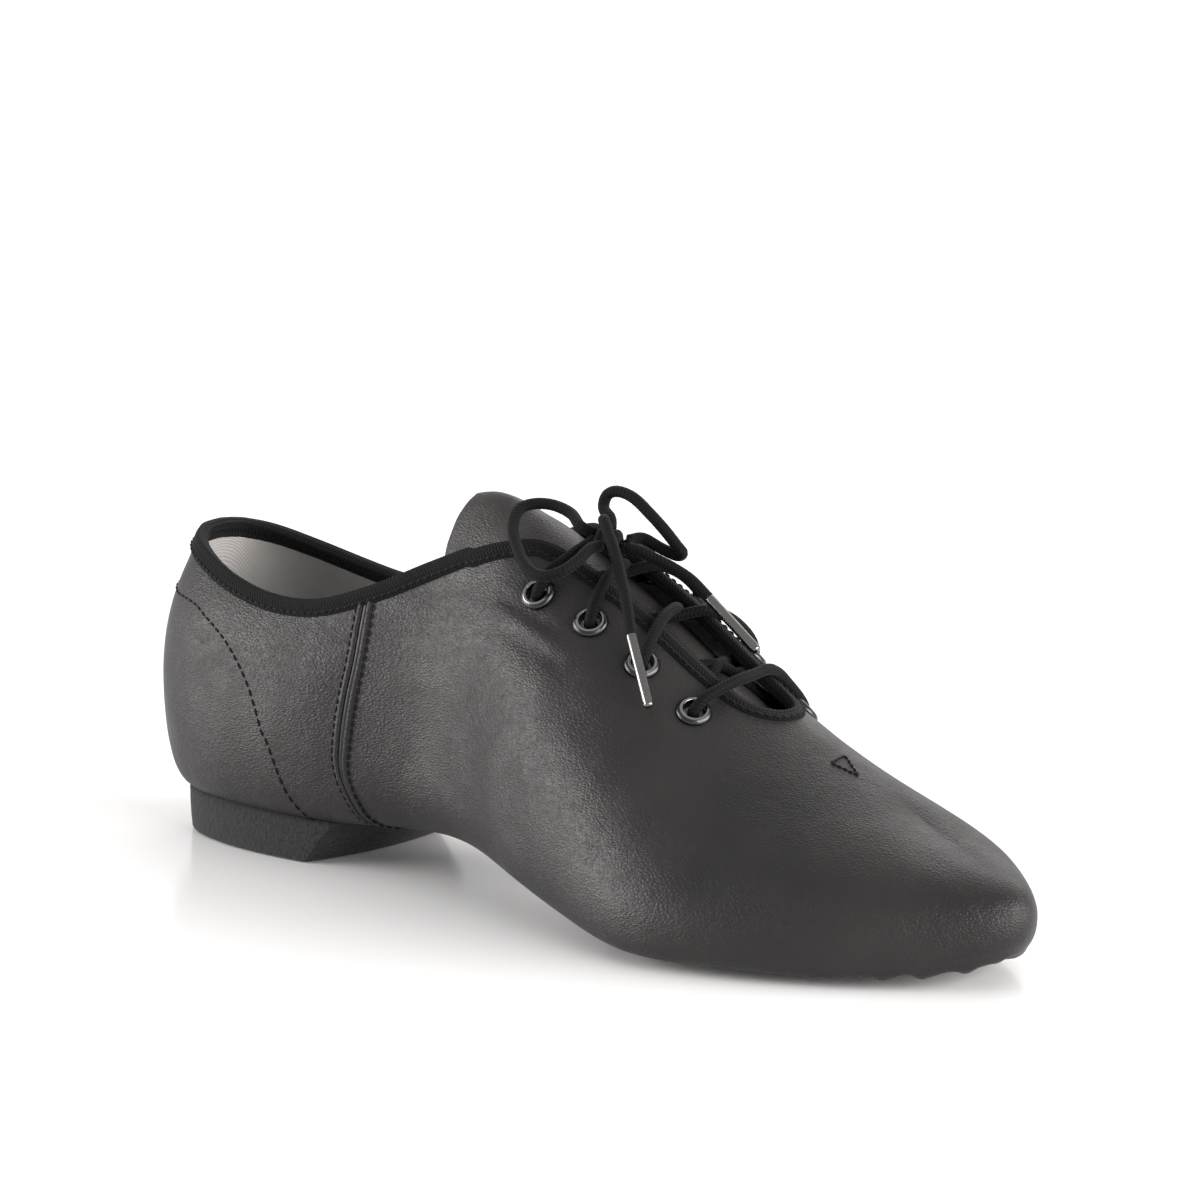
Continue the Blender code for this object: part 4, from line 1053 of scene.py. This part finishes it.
def rim_line():
    half = [k / 14 for k in range(int(TIP * 14))]
    half += [TIP - d for d in (0.27, 0.21, 0.16, 0.12, 0.08, 0.05, 0.025, 0.01)]
    half = np.array(sorted(s for s in half if s < TIP - 0.005))
    s = np.concatenate((half, [TIP], TURN - half[:0:-1]))
    v = top_edges(s)
    v[len(half)] = 2.0
    return s, v


def rim_frames():
    s, v = rim_line()
    edge, normal = skin(s, v), skin_normal(s, v)
    along = np.roll(edge, -1, 0) - np.roll(edge, 1, 0)
    out = unit(np.cross(normal, along))
    from_back = edge[:, 0] - HEEL_BACK
    leg = TAPE_LEG + (TAPE_LEG_AT_TIP - TAPE_LEG) * np.clip((from_back - 0.160) / 0.015, 0, 1)
    return s, v, edge, normal, out, leg


RIM = rim_frames()
TAPE_PROFILE = (  # share of the leg below the edge, height over the leather
    (1.00, 0.05), (0.97, 0.55), (0.85, 0.80), (0.62, 0.95), (0.40, 1.05), (0.20, 1.15))
TAPE_STITCH_SHARE = 0.80


def build_tape():
    s, v, edge, normal, out, leg = RIM
    lanes = []
    for share, rise in TAPE_PROFILE:
        a, b = walk(s.copy(), v.copy(), -out * (leg * share)[:, None])
        base, up = skin(a, b), skin_normal(a, b)
        lanes.append((base + up * (0.0001 + rise * 0.0007), base - up * (WALL + 0.0001 + rise * 0.0005)))
    crown = [(0.0002, 0.0008), (0.0005, 0.0003), (0.0006, -0.0006), (0.0005, -0.0015), (0.0002, -0.0020)]
    ring = [lane[0] for lane in lanes]
    ring += [edge + out * o + normal * n for o, n in crown]
    ring += [lane[1] for lane in reversed(lanes)]
    inner_face = [lanes[0][1] + normal * 0.0004, edge + out * 0.0003 - normal * WALL,
                  edge + out * 0.0003, lanes[0][0] - normal * 0.0002]
    ring += inner_face
    rings = np.stack(ring, 1)
    count, size = rings.shape[:2]
    rings = np.concatenate((rings, rings[:, :1]), 1)
    lengths = np.concatenate(([0], np.cumsum(np.linalg.norm(np.diff(edge, axis=0), axis=1))))
    visible = len(ring) - len(inner_face)
    across = np.minimum(np.arange(size + 1) / visible, 1.0) * 3
    closed = np.concatenate((rings, rings[:1]), 0)
    lengths = np.concatenate((lengths, [lengths[-1] + np.linalg.norm(edge[0] - edge[-1])]))
    uvs = np.stack(np.broadcast_arrays(lengths[:, None], across[None, :]), -1).reshape(-1, 2)
    faces = grid_faces(count + 1, size + 1)
    obj = add_mesh("edge_tape", closed.reshape(-1, 3), faces, TAPE_KNIT, uvs)
    place(face_out(obj), "tape", "topline_binding")


def tape_stitches():
    s, v, _, _, out, leg = RIM
    a, b = walk(s.copy(), v.copy(), -out * (leg * TAPE_STITCH_SHARE)[:, None])
    up = skin_normal(a, b)
    line = skin(a, b) + up * 0.00070
    rows = [(np.concatenate((line, line[:1])), np.concatenate((up, up[:1])))]
    place(stitches("tape_stitches", rows, THREAD, 0.0021, 0.0017), "tape")


build_tape()
tape_stitches()


# Side seams and other stitch lines

# The seam, the counter line and the tack's corners were picked by eye in the photograph and
# turned into places on the skin by a script.
SEAM_LINE = (  # v up the side, s
    (0.05, 4.50), (0.11, 4.43), (0.31, 4.31), (0.58, 4.22), (0.77, 4.16), (0.93, 4.14), (1.15, 4.18),
    (1.26, 4.20), (1.39, 4.17), (1.46, 4.14))
SEAM_RIDGES = ((-0.0027, -0.10), (-0.0024, 0.02), (-0.0020, 0.30), (-0.0016, 0.50), (-0.0011, 0.58),
               (-0.0007, 0.35), (-0.0005, -0.10))


def seam_lane(offset, lift, outer_side, count=72):
    """Line along the side seam, offset forward in metres; the seam thins towards the sole."""
    v = np.linspace(SEAM_LINE[0][0], SEAM_LINE[-1][0], count)
    s0 = smooth_table(v, SEAM_LINE)
    along = skin(s0 + 0.02, v) - skin(s0 - 0.02, v)
    narrow = np.interp(v, (0.0, 0.75, 1.1), (0.45, 0.75, 1.0))
    s = s0 + offset * narrow / (np.linalg.norm(along, axis=1) / 0.04)
    s = s if outer_side else TURN - s
    normal = skin_normal(s, v)
    return skin(s, v) + normal * (lift * narrow)[:, None], normal


def bar_faces(count, size):
    """Faces of a closed bar: its lanes, the side that joins first and last lane, both ends."""
    faces = [tuple(f) for f in grid_faces(count, size)]
    faces += [(k * size, k * size + size - 1, (k + 1) * size + size - 1, (k + 1) * size)
              for k in range(count - 1)]
    return faces + [tuple(range(size)), tuple((count - 1) * size + k for k in range(size))]


def build_seams():
    rows = []
    for outer_side, word in ((True, "lateral"), (False, "medial")):
        for side in (-1, 1):
            lanes = [seam_lane(side * -o, h * 0.001 + 0.0001, outer_side)[0] for o, h in SEAM_RIDGES]
            low = seam_lane(side * 0.0014, -0.0006, outer_side)[0]
            ridge = np.stack(lanes + [low], 1)
            count, size = ridge.shape[:2]
            obj = add_mesh(f"seam_ridge_{word}_{'back' if side < 0 else 'front'}",
                           ridge.reshape(-1, 3), bar_faces(count, size), LEATHER)
            place(face_out(obj), "leather")
            line, normal = seam_lane(side * 0.00235, 0.00024, outer_side)
            rows.append((line, normal))
        core = [seam_lane(o, h, outer_side)[0] for o, h in
                ((-0.0008, -0.0003), (-0.0007, 0.0001), (0.0, 0.00022), (0.0007, 0.0001), (0.0008, -0.0003))]
        strip = np.stack(core, 1)
        count, size = strip.shape[:2]
        obj = add_mesh(f"seam_strip_{word}", strip.reshape(-1, 3), bar_faces(count, size), PATENT)
        place(face_out(obj), "patent", f"side_seam_tape_{word}")
    place(stitches("seam_stitches", rows, THREAD, 0.0019, 0.0016), "tape")


COUNTER_LINE = (  # s, v of the stitched edge of the heel counter
    (0.0, 1.21), (0.55, 1.222), (1.17, 1.262), (1.71, 1.305), (2.08, 1.304), (2.64, 1.258), (3.09, 1.143),
    (3.35, 0.97), (3.46, 0.78), (3.55, 0.54), (3.64, 0.34), (3.72, 0.08))


def surface_line(table, sign):
    """Smooth line on the skin through a table of s and v, with its normals."""
    nodes = [np.array((s, v, 0.0)) for s, v in table]
    dense = smooth_path(nodes, 0.02)
    s, v = np.mod(sign * dense[:, 0], TURN), dense[:, 1]
    points, normal = skin(s, v), skin_normal(s, v)
    height = crease_field(points) * np.clip((v - 0.15) / 0.4, 0, 1)
    return points + normal * height[:, None], normal


def build_stitch_lines():
    rows = [surface_line(COUNTER_LINE, sign) for sign in (1, -1)]
    place(stitches("counter_stitches", rows, THREAD, 0.0024, 0.0021, 0.00027), "tape")
    corners = [(0.1931, -0.0043), (0.1922, 0.0011), (0.1990, -0.0020), (0.1931, -0.0043)]
    rows = []
    for (xa, ya), (xb, yb) in zip(corners, corners[1:]):
        line = np.array([over_skin(xa + (xb - xa) * t, (ya + (yb - ya) * t) or 1e-5, 0.0001)
                         for t in np.linspace(0, 1, 4)])
        up = np.broadcast_to(unit(np.array((0.45, 0.0, 1.0))), line.shape)
        rows.append((line, up))
    place(stitches("tongue_tack", rows, THREAD, 0.0015, 0.0014, 0.00022), "tape")


build_seams()
build_stitch_lines()


# Eyelets

EYELET_PROFILE = (  # radius share of the rim, height over the leather in metres
    (0.60, -0.0020), (0.60, 0.0004), (0.615, 0.0008), (0.66, 0.00105), (0.72, 0.00108), (0.80, 0.00098),
    (0.90, 0.00072), (0.97, 0.00040), (1.00, 0.00005), (0.97, -0.0002), (0.70, -0.0002), (0.68, -0.0020))


def build_eyelets():
    for (outer_side, index), (s, v, middle, normal) in EYELETS.items():
        ahead, behind = (skin(np.array([s + step]), np.array([v]))[0] for step in (0.01, -0.01))
        forward = unit(ahead - behind)
        aside = unit(np.cross(normal, forward))
        forward = np.cross(aside, normal)
        sides = 44
        rings = []
        for k in range(sides):
            turn = 2 * math.pi * k / sides
            ray = forward * math.cos(turn) + aside * math.sin(turn)
            rings.append([middle + ray * EYELET_RIM * share + normal * height
                          for share, height in EYELET_PROFILE])
        rings = np.array(rings)
        size = rings.shape[1]
        rings = np.concatenate((rings, rings[:, :1]), 1)
        faces = grid_faces(sides, size + 1, wrap=True)
        word = "lateral" if outer_side else "medial"
        obj = add_mesh(f"eyelet_ring_{word}_{index + 1}", rings.reshape(-1, 3), faces, GUNMETAL)
        # The lip faces get the lighter metal, a painted highlight ring.
        obj.data.materials.append(EYELET_PAINTED_HIGHLIGHT)
        for number, polygon in enumerate(obj.data.polygons):
            polygon.material_index = 1 if 1 <= number % size <= 4 else 0
        place(face_out(obj), "gunmetal", f"eyelet_{word}_{index + 1}")


build_eyelets()


# Tongue and insole

def tongue_wing(s):
    start, end = TONGUE_SPAN
    t = np.clip((s - start) / TONGUE_CORNER, 0.012, 1.0)
    taper = 1 - 0.65 * np.clip((s - 5.4) / (end - 5.4), 0, 1)
    return 2 - TONGUE_WING * taper * np.sqrt(1 - (1 - t) ** 2.2)


def build_tongue():
    """Leather sheet that dips under the lacing and lifts at its free end."""
    start, end = TONGUE_SPAN
    marks = np.concatenate((start + np.array((0.0, 0.006, 0.02, 0.045, 0.08, 0.13, 0.2, 0.28, 0.37)),
                            np.arange(start + 0.46, end - 0.1, 0.07)))
    shares = np.linspace(0, 1, 17)
    tops, lows = [], []
    for s in marks:
        wing = float(tongue_wing(s))
        lift = 0.0012 * min(max((5.4 - s) / 0.5, 0.0), 1.0)
        dip = (0.0021 - 0.0015 * shares ** 2) * min(max((s - 5.6) / 0.7, 0.0), 1.0)
        edge_roll = 0.0011 * np.exp(-shares / 0.10) * min(max((6.0 - s) / 0.8, 0.0), 1.0)
        ripple = 0.0005 * math.sin((s - start) * 3.1) * np.sin(shares * math.pi)
        v = wing + (2 - wing) * shares
        for here, order in ((s, slice(None)), (TURN - s, slice(-2, None, -1))):
            where = np.full(len(shares), here)
            base, normal = skin(where, v), skin_normal(where, v)
            depth = (TONGUE_DEPTH - lift * shares + dip + edge_roll + ripple)[:, None]
            tops.append((base - normal * depth)[order])
            lows.append((base - normal * (depth + TONGUE))[order])
    rows = 2 * len(shares) - 1
    top = np.concatenate(tops).reshape(len(marks), rows, 3)
    low = np.concatenate(lows).reshape(len(marks), rows, 3)
    place(shell("tongue_leather_sheet", top.reshape(-1, 3), low.reshape(-1, 3),
                grid_faces(len(marks), rows), TONGUE_LEATHER_PAINTED_LIGHTER), "leather", "tongue")


def build_insole():
    columns = loop_columns(8, extra=False)
    shares = np.array((0.02, 0.08, 0.2, 0.35, 0.5, 0.65, 0.8, 0.92, 1.0))
    s, share = np.meshgrid(columns, shares, indexing="ij")
    base = skin(s, -share) + np.array((0.0, 0.0, WALL + GAP))
    dome = 0.0004 * np.clip(share / 0.1, 0, 1)
    top = base.copy()
    top[..., 2] += INSOLE - 0.0004 + dome
    place(shell("sock_lining_board", top.reshape(-1, 3), base.reshape(-1, 3),
                grid_faces(len(columns), len(shares), wrap=True), SOCK), "lining", "insole")


build_tongue()
build_insole()


# Soles

def sole_edge(s):
    m = np.minimum(s, TURN - s)
    t = np.clip((m - SOLE_START) / 1.4, 0, 1)
    return 1 - (1 - SOLE_INSET) * np.sqrt(1 - (1 - t) ** 2)


def build_forefoot_sole():
    half = np.concatenate((SOLE_START + np.array((0.0, 0.01, 0.04, 0.09, 0.16, 0.25)),
                           np.arange(SOLE_START + 0.35, TOE, 0.12), [TOE]))
    columns = np.concatenate((half, TURN - half[-2::-1]))
    inset = np.interp(np.minimum(columns, TURN - columns), (8.0, 9.5), (0.2, 0.36))
    edge = np.maximum(sole_edge(columns), inset)
    shares = np.array((0.0, 0.02, 0.06, 0.2, 0.4, 0.6, 0.8, 1.0))
    share = edge[:, None] + (1 - edge)[:, None] * shares[None, :]
    s = np.broadcast_to(columns[:, None], share.shape)
    top = skin(s, -share)
    top[..., 2] -= 0.0001
    low = top.copy()
    rounding = 0.0008 * np.clip(1 - shares / 0.06, 0, 1) ** 2
    low[..., 2] -= SOLE + 0.0002 - rounding[None, :]
    low[..., 2] = np.where(low[..., 2] < 0.00018, 0.0, low[..., 2])
    place(shell("suede_forefoot_sole", top.reshape(-1, 3), low.reshape(-1, 3),
                grid_faces(len(columns), len(shares)), SUEDE), "suede", "forefoot_sole")


def heel_ring(height, breast, outset):
    reach = {}
    for sign in (1, -1):
        low, high = 0.5, 6.0
        for _ in range(40):
            mid = (low + high) / 2
            ahead = feather(np.array([mid * sign % TURN]))[0, 0] - HEEL_BACK < breast
            low, high = (mid, high) if ahead else (low, mid)
        reach[sign] = low
    marks = np.concatenate((np.linspace(-reach[-1], 0, 40, endpoint=False), np.linspace(0, reach[1], 41)))
    marks = np.mod(marks, TURN)
    ring = feather(marks) + outward(marks) * outset
    start, end = ring[-1], ring[0]
    t = np.arange(1, 16)[:, None] / 16
    front = start + (end - start) * t
    front[:, 0:1] += BREAST_BULGE * 4 * t * (1 - t)
    ring = np.concatenate((ring, front))
    ring[:, 2] = height
    return ring


def build_heel():
    top = HEEL_HEIGHT - GAP / 3
    levels = (
        (0.0, BREAST - 0.0008, HEEL_OUTSET - HEEL_TAPER - 0.0008),
        (0.00012, BREAST - 0.0003, HEEL_OUTSET - HEEL_TAPER - 0.00035),
        (0.0006, BREAST, HEEL_OUTSET - HEEL_TAPER),
        (top * 0.30, BREAST + BREAST_SLANT * 0.27, HEEL_OUTSET - HEEL_TAPER * 0.7 + 0.0001),
        (top * 0.60, BREAST + BREAST_SLANT * 0.55, HEEL_OUTSET - HEEL_TAPER * 0.4 + 0.0001),
        (top - 0.0007, BREAST + BREAST_SLANT * 0.96, HEEL_OUTSET),
        (top - 0.0002, BREAST + BREAST_SLANT, HEEL_OUTSET - 0.0003),
        (top, BREAST + BREAST_SLANT, HEEL_OUTSET - 0.0010),
    )
    rings = np.array([heel_ring(*level) for level in levels])
    count, size = rings.shape[:2]
    closed = np.concatenate((rings, rings[:, :1]), 1)
    middle_low, middle_top = closed[0].mean(0), closed[-1].mean(0)
    points = np.concatenate((closed.reshape(-1, 3), [middle_low, middle_top]))
    faces = [tuple(f) for f in grid_faces(count, size + 1)]
    last = (count - 1) * (size + 1)
    for k in range(size):
        faces.append((k, k + 1, len(points) - 2))
        faces.append((last + k + 1, last + k, len(points) - 1))
    obj = face_out(add_mesh("rubber_heel", points, faces, RUBBER))
    obj.data.set_sharp_from_angle(angle=math.radians(45))
    place(obj, "rubber", "heel")


build_forefoot_sole()
build_heel()


# Floor and light

FLOOR_HALF_SIZE = 4.0
WORLD_STRENGTH = 0.78


def build_stage():
    mesh = bpy.data.meshes.new("floor")
    corners = [(x * FLOOR_HALF_SIZE, y * FLOOR_HALF_SIZE, 0) for x, y in ((-1, -1), (1, -1), (1, 1), (-1, 1))]
    mesh.from_pydata(corners, [], [(0, 1, 2, 3)])
    mesh.materials.append(finish("pale_floor", (0.90, 0.90, 0.90), 0.16, specular=0.14)[0])
    floor = bpy.data.objects.new("floor", mesh)
    floor.location.z = -0.0002
    bpy.context.scene.collection.objects.link(floor)
    world = bpy.data.worlds.new("studio")
    bpy.context.scene.world = world
    world.use_nodes = True
    background = world.node_tree.nodes["Background"]
    background.inputs["Color"].default_value = (1.0, 1.0, 1.0, 1.0)
    background.inputs["Strength"].default_value = WORLD_STRENGTH


def area_light(name, place_at, aim, size, power, colour=(1.0, 0.97, 0.955)):
    data = bpy.data.lights.new(name, "AREA")
    data.color = colour
    data.shape = "RECTANGLE"
    data.size, data.size_y = size
    data.energy = power
    light = bpy.data.objects.new(name, data)
    light.location = place_at
    light.rotation_mode = "QUATERNION"
    light.rotation_quaternion = (Vector(aim) - Vector(place_at)).to_track_quat("-Z", "Y")
    bpy.context.scene.collection.objects.link(light)


build_stage()
area_light("left_panel", (-1.25, -1.2, 0.42), (0.0, 0.0, 0.05), (1.4, 0.7), 37)
area_light("back_panel", (-0.62, 1.25, 0.94), (0.1, 0.0, 0.04), (1.6, 1.0), 9)
area_light("right_panel", (1.50, 0.30, 0.42), (0.18, 0.0, 0.03), (1.9, 0.7), 52)
bpy.context.scene.view_settings.view_transform = "Standard"
